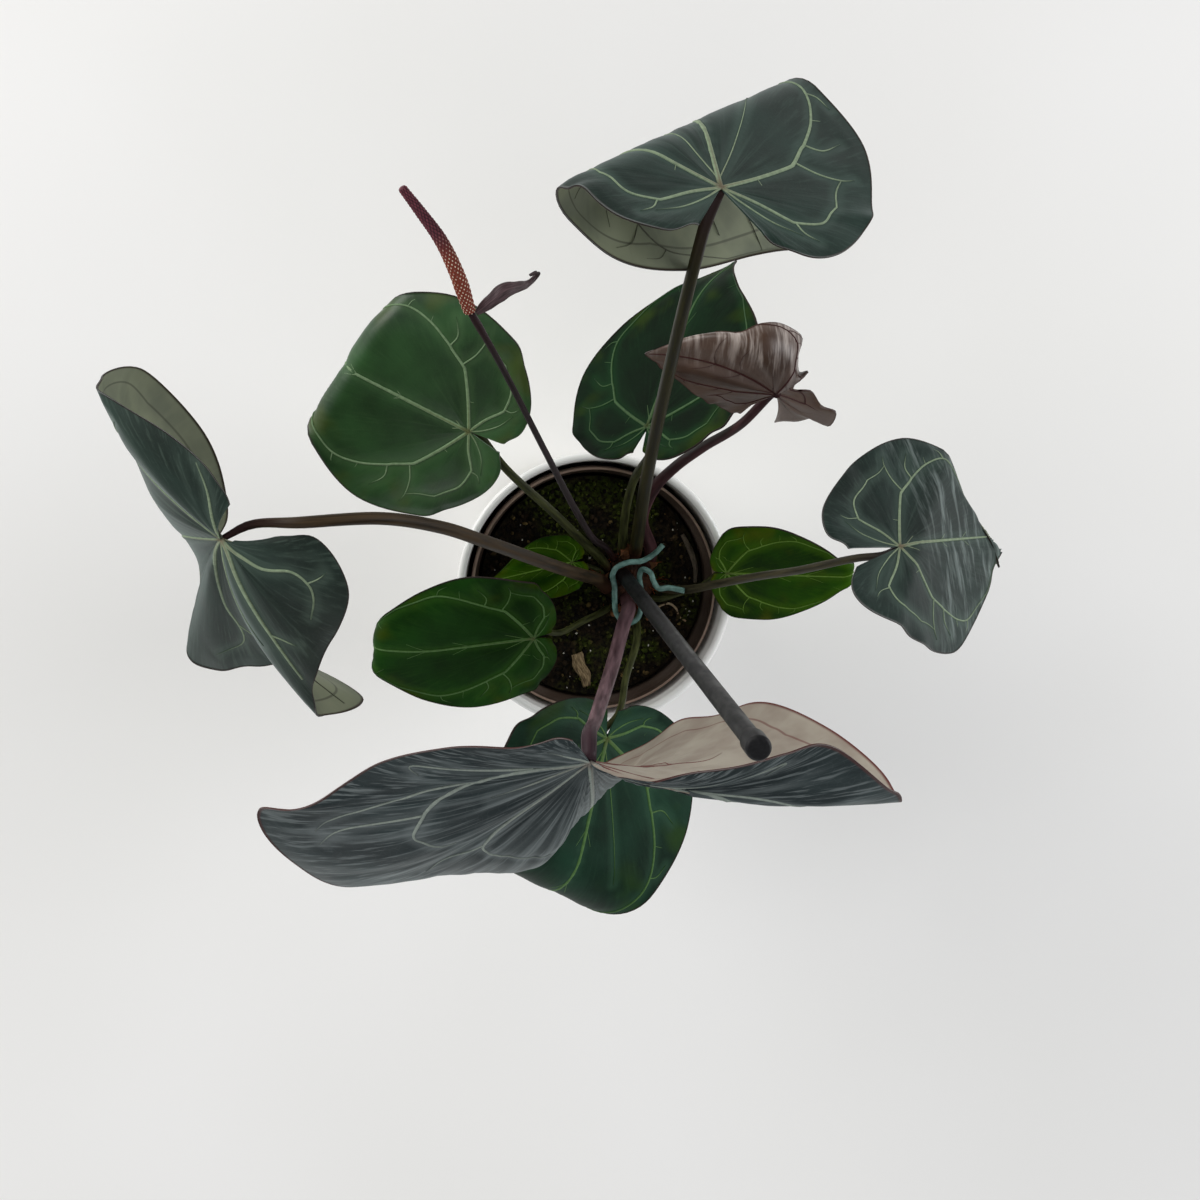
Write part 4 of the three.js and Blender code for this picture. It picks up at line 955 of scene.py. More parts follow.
def blade_piece(name, leaf):
    fan_steps, out_steps = LARGE_GRID if leaf["size"][0] > LARGE_BLADE else SMALL_GRID
    fan_steps = round(fan_steps * leaf.get("fine", 1.0))
    across, out = np.meshgrid(np.linspace(0, 1, fan_steps), np.arange(1, out_steps + 1) / out_steps)
    lines = vein_lines(leaf)
    flat = on_outline(leaf["size"], across) * out[..., None]
    distance = from_veins(leaf, flat, lines)
    rise = swelling(leaf, across, out, distance)
    hub_up = upward(leaf, np.array([0.5]), np.array([NEAR_HUB]))[0]
    points = []
    for half in (THICKNESS / 2, -THICKNESS / 2):
        points.append([leaf["hub"] + hub_up * half])
        points.append(blade_at(leaf, across, out, rise + half).reshape(-1, 3))
    upper, edge = fan_faces(fan_steps, out_steps)
    n = 1 + fan_steps * out_steps
    lower = [tuple(i + n for i in reversed(face)) for face in upper]
    rim = [(q, p, p + n, q + n) for p, q in edge]

    def twice(values, at_hub=None):
        """A mark of the rows, with one value for the hub before them, on both sides of the sheet."""
        rows = values.reshape(-1, *values.shape[2:])
        one_side = np.concatenate([rows[:1] if at_hub is None else at_hub, rows])
        return np.concatenate([one_side, one_side])

    gather = Gather()
    gather.add(
        np.vstack(points),
        upper + lower + rim,
        [0] * len(upper) + [1] * len(lower) + [0] * len(rim),
        fade=0.0,
        middle=0.0,
        vein=twice(distance),
        crest=twice(pleats(leaf, across, out)),
        reach=twice(out),
        flat=twice(flat, np.zeros((1, 3))),
        fan=twice(np.stack([across, out, np.zeros_like(out)], axis=-1)),
    )
    vein_ridges(gather, leaf, lines, 1, 2)
    vein_ridges(gather, leaf, lines, -1, 3, 0.55)
    *skins, slot = leaf["finish"]
    gather.piece("leaf_" + name, skins, slot, "blade_" + name)


for leaf_name, leaf in LEAVES.items():
    blade_piece(leaf_name, leaf)

# %% [markdown]
# ## Stalks
# Each leaf stalk is firm and round, slightly ribbed, and thicker at its foot. Just below the blade it bends
# in a short, swollen neck that the plant uses to turn the leaf. It is a tube along the same points as the
# CAD solid, with enough sides for the ribs to show, and the colour runs in streaks along it.

# %% Stalk finishes
def stalk_skin(name, dark, light, tip):
    f = Finish(name, 0.5, specular_ior_level=0.14)
    place = f.vector_mark("place")
    streaks = f.noise(place, (9.0, 7.0, 1.0), 4.0, 0.6)
    f.start(dark, light, streaks, 0.3, 0.7)
    f.paint(light, f.noise(place, (90.0, 14.0, 1.0), 2.0), 0.62, 0.75, 0.0, 0.3)
    along = f.split(place)["X"]
    f.paint(tip, along, 0.86, 0.99, 0.0, 0.85)
    f.paint("4a2a22", along, 0.12, 0.0, 0.0, 0.7)
    f.relief(streaks, 0.3, 0.3)
    f.set("Roughness", f.span(streaks, 0.3, 0.7, 0.42, 0.6))
    return f.done()


STALK_SKINS = {
    "brown": (stalk_skin("brown_stalk", "1c150c", "423422", "2a1418"), "stalk_brown"),
    "olive": (stalk_skin("olive_stalk", "100f04", "2c2a0e", "2a181a"), "stalk_brown"),
    "wine": (stalk_skin("wine_stalk", "2a1719", "4c3134", "2c1216"), "stalk_brown"),
    "mauve": (stalk_skin("mauve_stalk", "3a262b", "70575c", "22121a"), "stalk_mauve"),
    "dark": (stalk_skin("dark_stalk", "1f1d14", "3e3a28", "20141a"), "stalk_green"),
    "green": (stalk_skin("green_stalk", "20230f", "464a28", "3c3c24"), "stalk_green"),
}
print("stalk finishes:", len(STALK_SKINS))

# %% Build the stalks
SEAT_GAP = 0.5
SEAT_SINK = 0.45
NECK_SHARE = 0.26
NECK_LENGTH = 9
NECK_DROP = 0.75
NECK_BACK = 0.6
STALK_STEPS = 90
STALK_SIDES = 22


def stalk_route(leaf):
    """The points of a stalk, with the bend of its neck and its seat against the blade's underside."""
    if "face" in leaf:
        face = unit(np.array(leaf["face"], dtype=float))
    else:
        face = turned_frame(leaf["turn"])[:, 2]
    seat = np.array(leaf["hub"], dtype=float) - face * (THICKNESS / 2 + SEAT_GAP)
    route = np.array(leaf["stalk"], dtype=float)
    back = route[-1] - seat
    length = np.linalg.norm(back)
    neck_length = min(NECK_LENGTH, NECK_SHARE * length)
    neck = seat - face * neck_length * NECK_DROP + back / length * neck_length * NECK_BACK
    return np.vstack([route, neck, seat + face * SEAT_SINK])


def ribbed(turn, along):
    neck = 1 + 0.16 * np.exp(-(((along - 0.97) / 0.025) ** 2))
    return neck * (1 + 0.035 * np.cos(5 * turn) + 0.015 * np.cos(11 * turn + 3 * along))


def build_stalk(name, route, steps, radii, sides, skin, slot, node):
    points, faces, place = tube(stalk_line(route, steps), radii, sides, ribbed)
    make_piece(name, points, faces, [skin], node, {"place": place})


for leaf_name, leaf in LEAVES.items():
    build_stalk(
        "stalk_" + leaf_name, stalk_route(leaf), STALK_STEPS, leaf["radii"], STALK_SIDES,
        *STALK_SKINS[leaf["stalk_finish"]], "petiole_" + leaf_name,
    )

# %% [markdown]
# ## The flower
# An anthurium's flower is a spike of tiny flowers, the spadix, over one bract, the spathe. Each tiny flower
# is a low bead in a slanting row. The lower half of this spike is in bloom, with pale pollen between the
# beads. The spathe has dried to a narrow strap with a curled tip. The beads are real bumps: each point of
# the tube stands out by a wave of its place, and the same wave gives the pollen its place.

# %% The flower's stalk
PEDUNCLE = [
    (11.8, 12.2, 104), (4, 22.5, 130), (-4, 29.5, 152), (-16, 48, 190), (-34, 80, 240),
    (-57, 122, 290), (-69, 142, 310),
]
PEDUNCLE_RADII = [1.7, 1.6, 1.5, 1.4, 1.3, 1.4]
peduncle_skin = stalk_skin("peduncle_skin", "170f0e", "30262a", "2a161a")
build_stalk("flower_stalk", PEDUNCLE, 110, PEDUNCLE_RADII, 16, peduncle_skin, "stalk_brown", "peduncle")

# %% The spadix
SPADIX = [
    (-69.2, 142.3, 310.3), (-75, 158, 322), (-81, 170, 328), (-89, 181, 332), (-96, 190, 335),
]
SPADIX_RADII = [2.3, 2.9, 2.7, 2.4, 2.0, 1.5]
ROWS = 46
BEADS_ROUND = 11
BEAD_HEIGHT = 0.55
BEAD_SINK = 0.25
TIP_SHARE = 0.016

spadix_line = stalk_line(SPADIX, 300)
_, spadix_side, spadix_up = carried_frames(spadix_line)
along = np.linspace(0, 1, len(spadix_line))[:, None]
turn = np.linspace(0, TAU, 72, endpoint=False)[None, :]
rising = np.sin((ROWS * math.pi * along + BEADS_ROUND * turn) / 2)
falling = np.sin((ROWS * math.pi * along - BEADS_ROUND * turn) / 2)
bead = np.abs(rising * falling)
radius = np.interp(along, np.linspace(0, 1, len(SPADIX_RADII)), SPADIX_RADII)
blunt = np.sqrt(np.clip(1 - np.clip((along - 0.985) / TIP_SHARE, 0, 1) ** 2, 0.05, 1))
out = (radius - BEAD_SINK + BEAD_HEIGHT * bead**0.6) * blunt
points, faces = ring_body(round_sections(spadix_line, spadix_side, spadix_up, out, turn))
along_all = np.broadcast_to(along, bead.shape).ravel()
marks = {"bead": np.append(bead.ravel(), [0, 0]), "along": np.append(along_all, [0, 1])}

f = Finish("spadix_beads", 0.55, specular_ior_level=0.35)
bead_mark = f.mark("bead")
mottle = f.noise(f.place(), 900.0, 2.0)
f.start("561f2c", "7a3844", mottle, 0.3, 0.7)
# Painted shade: darker in the grooves between the beads.
f.skin = f.mix(f.span(bead_mark, 0.1, 0.6), "3a1420", f.skin)
blooming = f.span(f.mark("along"), 0.66, 0.4)
rust = f.mix(f.span(bead_mark, 0.2, 0.8), "8a3a1c", "7a2a1e")
f.cover(rust, f.times(blooming, 0.8))
pollen = f.times(f.span(bead_mark, 0.72, 0.84), blooming)
f.cover("ead9bd", f.times(pollen, f.span(mottle, 0.36, 0.5)))
make_piece("flower_spike", points, faces, [f.done()], "spadix", marks)

# %% The spathe
SPATHE = [
    (-66.6, 141.4, 309.3), (-61, 146, 313), (-55, 150.5, 313), (-49, 152, 309), (-45, 153, 303),
    (-42, 155.5, 300), (-42, 157, 304), (-45, 156, 305.5),
]
SPATHE_HALF_WIDTHS = [1.2, 2.6, 3.2, 2.8, 1.9, 1.3, 1, 0.7]
SPATHE_THICKNESS = 0.8
SPATHE_TROUGH = 0.35
HALF_RING = 15

strap_line = stalk_line(SPATHE, 90)
ahead = unit(np.gradient(strap_line, axis=0))
side = np.cross(ahead[0], [0.0, 0.0, 1.0])
across = np.linspace(-1, 1, HALF_RING)
across = np.concatenate([across, -across])
below = np.arange(2 * HALF_RING) < HALF_RING
thick = SPATHE_THICKNESS / 2 * np.sqrt(np.clip(1 - across**4, 0.08, 1))
rings = []
strap_place = []
for k, (centre, way) in enumerate(zip(strap_line, ahead)):
    side = unit(side - way * side.dot(way))
    face = np.cross(way, side)
    share = k / (len(strap_line) - 1)
    half = np.interp(share, np.linspace(0, 1, len(SPATHE_HALF_WIDTHS)), SPATHE_HALF_WIDTHS)
    half *= 1 + 0.05 * math.sin(23 * share)
    lift = SPATHE_TROUGH * half * np.abs(across) + np.where(below, -thick, thick)
    lift += 0.12 * np.sin(40 * share + 5 * across)
    rings.append(centre + np.outer(across * half, side) + np.outer(lift, face))
    strap_place.append(np.stack(np.broadcast_arrays(share, across, 0.0), -1))
points, faces = ring_body(rings)
strap_place = np.vstack([*strap_place, [0, 0, 0], [1, 0, 0]])

f = Finish("spathe_skin", 0.5, specular_ior_level=0.4)
place = f.vector_mark("place")
grain = f.noise(place, (8.0, 9.0, 1.0), 4.0)
f.start("302022", "5c464a", grain, 0.3, 0.7)
rib = f.math("ABSOLUTE", f.split(place)["Y"])
f.paint("6e5659", rib, 0.12, 0.0, 0.0, 0.6)
f.paint("241414", rib, 0.8, 1.0, 0.0, 0.7)
f.paint("281618", f.split(place)["X"], 0.55, 0.9, 0.0, 0.7)
f.relief(grain, 0.4, 0.3)
make_piece("flower_strap", points, faces, [f.done()], "spathe", {"place": strap_place})

# %% [markdown]
# ## Pots
# The plant grows in a thin plastic nursery pot, which stands inside a glazed cachepot. Both are round, so
# each is a profile turned about the axis. The glaze is smooth and bright with a very slight unevenness. The
# plastic is dull, with fine rings from its mould and dust on the rim, and shade is painted on it inside its
# rim.

# %% Turned pieces
def arc(radius, height, round_, start, stop, steps):
    turns = np.radians(np.linspace(start, stop, steps + 1))
    return [(radius + round_ * math.cos(t), height + round_ * math.sin(t)) for t in turns]


def level_ring(radius, turn, height):
    """One ring round the axis, at a height that may change from point to point."""
    return np.stack(np.broadcast_arrays(radius * np.cos(turn), radius * np.sin(turn), height), -1)


def turned(profile, sides, longest):
    """A closed body from a profile that starts and ends on the axis. Long straight stretches of the profile
    get more points, so that the pattern and the shading have something to hold on to."""
    ring_places = [profile[0]]
    for (r0, z0), (r1, z1) in zip(profile, profile[1:]):
        parts = max(1, math.ceil(math.hypot(r1 - r0, z1 - z0) / longest))
        for k in range(1, parts + 1):
            ring_places.append((r0 + (r1 - r0) * k / parts, z0 + (z1 - z0) * k / parts))
    turn = np.linspace(0, TAU, sides, endpoint=False)
    return ring_body([level_ring(radius, turn, height) for radius, height in ring_places[1:-1]])


print("a quarter round in two steps:", np.round(arc(0, 0, 1, 0, 90, 2), 2).tolist())

# %% The cachepot
CACHEPOT_RIM = 67.5
CACHEPOT_FOOT = 52.5
CACHEPOT_HEIGHT = 124
CACHEPOT_WALL = 4
CACHEPOT_FLOOR = 5
FOOT_ROUND = 4
INSIDE_ROUND = 6
lip = CACHEPOT_WALL / 2
inner_foot = CACHEPOT_FOOT - CACHEPOT_WALL - INSIDE_ROUND
profile = [
    (0, 0),
    (CACHEPOT_FOOT - FOOT_ROUND, 0),
    *arc(CACHEPOT_FOOT - FOOT_ROUND, FOOT_ROUND, FOOT_ROUND, -80, 0, 8),
    *arc(CACHEPOT_RIM - lip, CACHEPOT_HEIGHT - lip, lip, 0, 180, 14),
    *arc(inner_foot, CACHEPOT_FLOOR + INSIDE_ROUND, INSIDE_ROUND, 0, -90, 8),
    (0, CACHEPOT_FLOOR),
]
f = Finish("white_glaze", 0.16, specular_ior_level=0.5, coat_weight=0.4, coat_roughness=0.05)
clouds = f.noise(f.place(), 14.0)
pits = f.noise(f.place(), 260.0, 2.0)
f.start("efeeeb", "f6f6f4", clouds, 0.3, 0.7)
f.paint("c9c6bf", pits, 0.7, 0.8, 0.0, 0.12)
f.set("Roughness", f.span(clouds, 0.3, 0.7, 0.12, 0.22))
f.relief(f.math("ADD", clouds, f.times(pits, 0.1)), 0.15, 0.6)
points, faces = turned(profile, 128, 9)
make_piece("glazed_cachepot", points, faces, [f.done()], "cachepot")

# %% The nursery pot
NURSERY_RIM = 60
NURSERY_FOOT = 42
NURSERY_TOP = 118
NURSERY_WALL = 1.3
BAND_HEIGHT = 9
BAND_STEP = 1.8
POT_GAP = 0.3
base = CACHEPOT_FLOOR + POT_GAP
step = NURSERY_TOP - BAND_HEIGHT
edge = 0.5
profile = [
    (0, base),
    (NURSERY_FOOT, base),
    (NURSERY_RIM - BAND_STEP, step - 0.4),
    (NURSERY_RIM - edge, step),
    (NURSERY_RIM, step + edge),
    *arc(NURSERY_RIM - edge, NURSERY_TOP - edge, edge, 0, 90, 4),
    *arc(NURSERY_RIM - NURSERY_WALL + edge, NURSERY_TOP - edge, edge, 90, 180, 4),
    (NURSERY_RIM - NURSERY_WALL, step + NURSERY_WALL),
    (NURSERY_RIM - BAND_STEP - NURSERY_WALL, step - 0.2),
    (NURSERY_FOOT - NURSERY_WALL, base + NURSERY_WALL),
    (0, base + NURSERY_WALL),
]
f = Finish("tan_plastic", 0.5, specular_ior_level=0.4)
dust = f.noise(f.place(), 70.0, 4.0)
mould_rings = f.noise(f.place(), (3.0, 3.0, 900.0), 1.0)
f.start("7d675a", "9a8374", dust, 0.3, 0.75)
f.paint("4a3c33", dust, 0.68, 0.8, 0.0, 0.6)
# Painted shade: every point closer to the axis than the rim's inner face, the inner wall among them, is
# darkened.
off_axis = f.scaled(f.place(), (1.0, 1.0, 0.0))
off_axis = f.node("ShaderNodeVectorMath", {"operation": "LENGTH"}, i0=off_axis).outputs["Value"]
inner_wall = (NURSERY_RIM - NURSERY_WALL + 0.2) * MM
f.paint("2a211a", off_axis, inner_wall, inner_wall - 0.2 * MM, 0.0, 0.85)
f.set("Roughness", f.span(dust, 0.3, 0.7, 0.4, 0.65))
f.relief(f.math("ADD", mould_rings, dust), 0.2, 0.2)
points, faces = turned(profile, 112, 7)
make_piece("grower_pot", points, faces, [f.done()], "nursery_pot")

# %% [markdown]
# ## Stake and tie
# The stake is a thin steel tube in a plastic coat, with a moulded cap. The tie is a coated wire, wound
# round the stake and the stalk of the large front leaf. Both are plain in colour, so fine scratches, dust
# and a soft unevenness of the coat do the work.

# %% The stake
STAKE_PLACE = (15.5, 5.5)
STAKE_RADIUS = 3.6
STAKE_FOOT = 24
STAKE_TOP = 495
STAKE_POINT = 6
CAP_RADIUS = 4.5
CAP_LENGTH = 12
CAP_ROUND = 1.5
CAP_EDGE = 0.4
cap_foot = STAKE_TOP - CAP_LENGTH
profile = [
    (0, STAKE_FOOT),
    (STAKE_RADIUS * 0.5, STAKE_FOOT),
    (STAKE_RADIUS, STAKE_FOOT + STAKE_POINT),
    (STAKE_RADIUS, cap_foot - 0.2),
    (STAKE_RADIUS + 0.3, cap_foot),
    *arc(CAP_RADIUS - CAP_EDGE, cap_foot + CAP_EDGE, CAP_EDGE, -80, 0, 3),
    *arc(CAP_RADIUS - CAP_ROUND, STAKE_TOP - CAP_ROUND, CAP_ROUND, 0, 90, 6),
    (0, STAKE_TOP),
]
points, faces = turned(profile, 40, 6)
f = Finish("stake_coat", 0.55, specular_ior_level=0.2)
long_grain = f.noise(f.place(), (900.0, 900.0, 14.0))
dust = f.noise(f.place(), (160.0, 160.0, 60.0), 4.0)
f.start("0d0d0f", "171719", long_grain, 0.3, 0.75)
f.paint("3c3b39", dust, 0.6, 0.78, 0.0, 0.2)
f.set("Roughness", f.span(dust, 0.3, 0.7, 0.34, 0.55))
f.relief(long_grain, 0.25, 0.25)
make_piece("support_stake", points + [*STAKE_PLACE, 0], faces, [f.done()], "stake")

# %% The tie
TIE_RADIUS = 1.35
TIE = [
    (32, 23, 131), (28, 18.5, 129), (22, 15.2, 129), (15.5, 14.6, 129), (9.8, 12.2, 129),
    (8, 8.5, 128), (9, 3, 127), (9.2, -4, 126), (10.2, -11, 125), (15, -16, 124.5),
    (20.5, -14, 124), (22.6, -7, 124), (22.3, 1, 124), (21.6, 7, 124), (23, 10.5, 125),
    (26.6, 9, 127), (28, 5, 129), (30, 2, 131), (35, 2.6, 134), (42, 1.4, 136.5),
]
points, faces, place = tube(stalk_line(TIE, 260), [TIE_RADIUS, TIE_RADIUS], 14)
f = Finish("tie_coat", 0.45, specular_ior_level=0.5)
mottle = f.noise(f.place(), 350.0)
f.start("44665f", "6a8f87", mottle, 0.3, 0.7)
f.paint("2c423c", mottle, 0.66, 0.8, 0.0, 0.6)
f.relief(mottle, 0.25, 0.2)
make_piece("wire_tie", points, faces, [f.done()], "tie", {"place": place})

# %% [markdown]
# ## Crown
# The stem has been growing on top of its old parts: brown rings where leaves fell, papery sheaths, short
# orange-brown fibres, and one cut stalk with a pale ring. The knob is a ball pressed into the size of the
# CAD crown. The fibres are thin tapering tubes, thrown round it by a seeded dice, most of them lying close.

# %% The knob and the stumps
CROWN_CENTRE = np.array([19, 2.5, 101])
CROWN_RADII = np.array([13.5, 17, 12])
CROWN_STUMPS = [
    ([(17, 12, 105), (16.5, 17, 111), (16, 19.5, 116)], [3, 2.8, 2.6]),
    ([(13, -8, 103), (11, -12, 106), (10.5, -14, 110)], [2.6, 2.4, 1.4]),
    ([(25, -9, 103), (28, -13, 108), (27, -16, 114)], [2.4, 2, 0.8]),
]
crown = Gather()
rise = np.linspace(-math.pi / 2, math.pi / 2, 50)[1:-1, None]
turn = np.linspace(0, TAU, 96, endpoint=False)[None, :]
scars = 0.03 * np.sin(22 * rise + 2 * np.sin(2 * turn)) + 0.07 * np.sin(3 * turn + 3 * rise)
out = 1 + scars + 0.02 * np.sin(17 * turn + 5 * rise) + 0.015 * np.sin(31 * turn - 19 * rise)
rings = ways_round(turn, rise) * CROWN_RADII * out[..., None] + CROWN_CENTRE
crown.add(*ring_body(rings), 0, tone=0.0)
for stump_points, radii in CROWN_STUMPS:
    points, faces, place = tube(stalk_line(stump_points, 20), radii, 20, ribbed)
    crown.add(points, faces, 1, tone=place[:, 0])
print("crown points:", crown.count)

# %% Fibres
FIBRES = 120
dice = np.random.default_rng(7)
for _ in range(FIBRES):
    away = ways_round(dice.uniform(0, TAU), 0)
    start = CROWN_CENTRE + away * CROWN_RADII * dice.uniform(0.55, 0.95) + [0, 0, dice.uniform(0, 5)]
    reach = dice.uniform(3, 11)
    drift = dice.normal(0, 0.35, 3)
    end = start + reach * (away * dice.uniform(0.2, 0.8) + drift + [0, 0, dice.uniform(0.2, 0.9)])
    middle = (start + end) / 2 + dice.normal(0, 1.0, 3) + [0, 0, 1]
    thick = dice.uniform(0.25, 0.6)
    points, faces, place = tube(stalk_line([start, middle, end], 8), [thick, thick * 0.8, 0.12], 6)
    crown.add(points, faces, 2, tone=dice.uniform(0, 1))
print("crown points:", crown.count)

# %% Papery sheaths: turn round the crown, lean, and height in millimetres
CROWN_SHEATHS = [(0.6, 0.3, 16), (1.9, 0.25, 19), (3.0, 0.35, 15), (4.2, 0.3, 14), (5.3, 0.4, 13)]
SHEATH_RINGS = 12
SHEATH_HALF_RING = 9
SHEATH_THICKNESS = 0.35

bow = np.linspace(-1, 1, SHEATH_HALF_RING)
shares = np.linspace(0, 1, SHEATH_RINGS)
for turn, lean, tall in CROWN_SHEATHS:
    away = ways_round(turn, 0)
    level = np.array([-away[1], away[0], 0])
    foot = CROWN_CENTRE + away * CROWN_RADII * 0.72
    rings = []
    for share in shares:
        half = 3.4 * (1 - share) ** 0.6 + 0.25
        centre = foot + away * (lean * tall * share**1.5) + [0, 0, tall * share]
        outer = [centre + level * half * b + away * (0.4 - 0.9 * b * b * half / 3) for b in bow]
        inner = [p - away * SHEATH_THICKNESS for p in reversed(outer)]
        rings.append(outer + inner)
    tone = np.append(np.repeat(shares, 2 * SHEATH_HALF_RING), [0, 1])
    crown.add(*ring_body(rings), 3, tone=tone)


# %% Finishes of the crown
def crown_skin(name, dark, light, scale):
    f = Finish(name, 0.85, specular_ior_level=0.2)
    rough = f.noise(f.place(), (scale, scale, scale * 0.5), 5.0, 0.6)
    f.start(dark, light, rough, 0.3, 0.7)
    f.cover("8a4a22", f.times(f.mark("tone"), 0.35))
    f.relief(rough, 0.6, 0.5)
    return f.done()


crown_skins = [
    crown_skin("crown_bark", "1e130e", "4a2c1c", 260.0),
    crown_skin("old_stump", "33241a", "6a5238", 300.0),
    crown_skin("crown_fibre", "4a2412", "8c4a20", 400.0),
    crown_skin("dry_sheath", "4a3020", "8a6a4a", 220.0),
]
crown.piece("stem_crown", crown_skins, "crown_fibre", "crown")

# %% [markdown]
# ## Soil
# The mix is dark, damp and crumbly: peat with fine bark, a little moss where light falls, and white grains
# of perlite. The surface is the CAD's own sum of waves with finer ones on it. Crumbs are small lumps with a
# few flat sides, cast by the same seeded dice so that they come out the same every time. Most are sunk by
# about half.

# %% The body of the soil
SOIL_TOP = 106
SOIL_SWELL = 1.5
SOIL_ROUGHNESS = 0.9
SOIL_GAP = 0.3
SOIL_FOOT = CACHEPOT_FLOOR + 2 * SOIL_GAP + NURSERY_WALL
SOIL_SIDES = 160
INNER_FOOT = NURSERY_FOOT - NURSERY_WALL - SOIL_GAP
INNER_TOP = NURSERY_RIM - BAND_STEP - NURSERY_WALL - 2 * SOIL_GAP
SOIL_RADIUS = INNER_FOOT + (INNER_TOP - INNER_FOOT) * SOIL_TOP / NURSERY_TOP


def soil_height(x, y):
    out = np.hypot(x, y) / NURSERY_RIM
    uneven = np.sin(x * 0.31 + 1.7) * np.cos(y * 0.27 - 0.6) + 0.6 * np.sin(x * 0.11 - y * 0.16)
    fine = 0.35 * np.sin(x * 0.9 + 2 * np.sin(y * 0.5)) * np.sin(y * 1.1 + 2 * np.sin(x * 0.4))
    return SOIL_TOP + SOIL_SWELL * (1 - out * out) + (SOIL_ROUGHNESS * uneven + fine) * (1 - out)


def on_soil(route):
    """Points across, up and above the soil, as places in space."""
    return [(x, y, float(soil_height(x, y)) + over) for x, y, over in route]


turn = np.linspace(0, TAU, SOIL_SIDES, endpoint=False)
rings = [level_ring(INNER_FOOT - 1, turn, SOIL_FOOT)]
for radius in np.linspace(SOIL_RADIUS, 0.6, 70):
    rings.append(level_ring(radius, turn, soil_height(radius * np.cos(turn), radius * np.sin(turn))))
soil = Gather()
soil.add(*ring_body(rings), 0, tone=0.0)
print("soil's height at its middle:", round(float(soil_height(0, 0)), 1), "mm")

# %% Crumbs, white grains and a thin root
CRUMBS = 1500
GRAIN_SHARE = 0.04
THIN_ROOT = [(30, -14, 0.6), (34, -10.5, 0.6), (38.5, -9.5, 0.6), (42, -12, 0.6), (43.5, -16, 0.6),
             (47, -18.5, 0.6)]
THIN_ROOT_RADII = [0.5, 0.6, 0.55, 0.4]


def lump(centre, size, dice):
    """A crumb: a ball of a few points, each pushed in or out."""
    rise = np.array([-0.9, 0.0, 0.9])[:, None]
    turn = np.linspace(0, TAU, 6, endpoint=False)[None, :] + dice.uniform(0, TAU)
    away = ways_round(turn, rise)
    away = away * dice.uniform(0.7, 1.2, away.shape[:2] + (1,)) * dice.uniform(0.6, 1.2, 3)
    return ring_body(away * size / 2 + centre)


for _ in range(CRUMBS):
    radius = (SOIL_RADIUS - 2) * math.sqrt(dice.uniform())
    way = dice.uniform(0, TAU)
    x = radius * math.cos(way)
    y = radius * math.sin(way)
    kind = dice.uniform()
    size = dice.uniform(0.8, 3.2) if kind > GRAIN_SHARE else dice.uniform(0.6, 1.3)
    centre = np.array([x, y, soil_height(x, y) + size * dice.uniform(-0.1, 0.25)])
    points, faces = lump(centre, size, dice)
    soil.add(points, faces, 2 if kind < GRAIN_SHARE else 1, tone=dice.uniform())
points, faces, place = tube(stalk_line(on_soil(THIN_ROOT), 60), THIN_ROOT_RADII, 12, ribbed)
soil.add(points, faces, 3, tone=place[:, 0])
print("soil points:", soil.count)

# %% Finishes of the soil
f = Finish("potting_mix", 0.95, specular_ior_level=0.15)
crumb = f.noise(f.place(), 420.0, 6.0, 0.65)
f.start("0a0805", "2a2014", crumb, 0.35, 0.7)
patch = f.noise(f.place(), 38.0)
f.cover("2e380b", f.times(f.span(patch, 0.44, 0.58), f.span(crumb, 0.4, 0.62)))
f.relief(crumb, 0.9, 1.6)
soil_skin = f.done()

f = Finish("soil_crumb", 0.95, specular_ior_level=0.15)
tone = f.mark("tone")
crumb = f.noise(f.place(), 500.0, 4.0, 0.6)
f.start("0e0b07", "34281a", tone, 0.2, 0.95)
f.paint("6a5834", tone, 0.9, 0.98)
patch = f.noise(f.place(), 38.0)
moss = f.mix(f.span(crumb, 0.5, 0.7), "2e380b", "62662c")
f.cover(moss, f.times(f.span(patch, 0.44, 0.56), f.span(tone, 0.25, 0.45)))
f.paint("0c0906", crumb, 0.5, 0.3, 0.0, 0.5)
f.relief(crumb, 0.8, 0.6)
crumb_skin = f.done()

f = Finish("perlite", 0.9)
crumb = f.noise(f.place(), 900.0)
f.start("b9b4a8", "e6e3da", crumb, 0.3, 0.7)
f.relief(crumb, 0.5, 0.3)
perlite = f.done()
pale_root = crown_skin("pale_root", "8a7a62", "b5a78c", 260.0)
soil.piece("potting_soil", [soil_skin, crumb_skin, perlite, pale_root], "potting_mix", "soil")

# %% [markdown]
# ## Litter
# A split chip of bark and a dry root lie on the soil. Both have a grain that runs along them, so their
# tubes are grooved along the length and the colour streaks follow the same way.

# %% The bark chip
BARK_PLACE = (-5, -42)
BARK_TURN = -72
BARK_SIZE = (17, 6, 2.4)
BARK_RISE = 0.8


def dry_skin(name, dark, light):
    f = Finish(name, 0.9, specular_ior_level=0.2)
    grain = f.noise(f.vector_mark("place"), (5.0, 22.0, 1.0), 5.0, 0.6)
    f.start(dark, light, grain, 0.3, 0.7)
    f.relief(grain, 0.8, 0.5)
    return f.done()


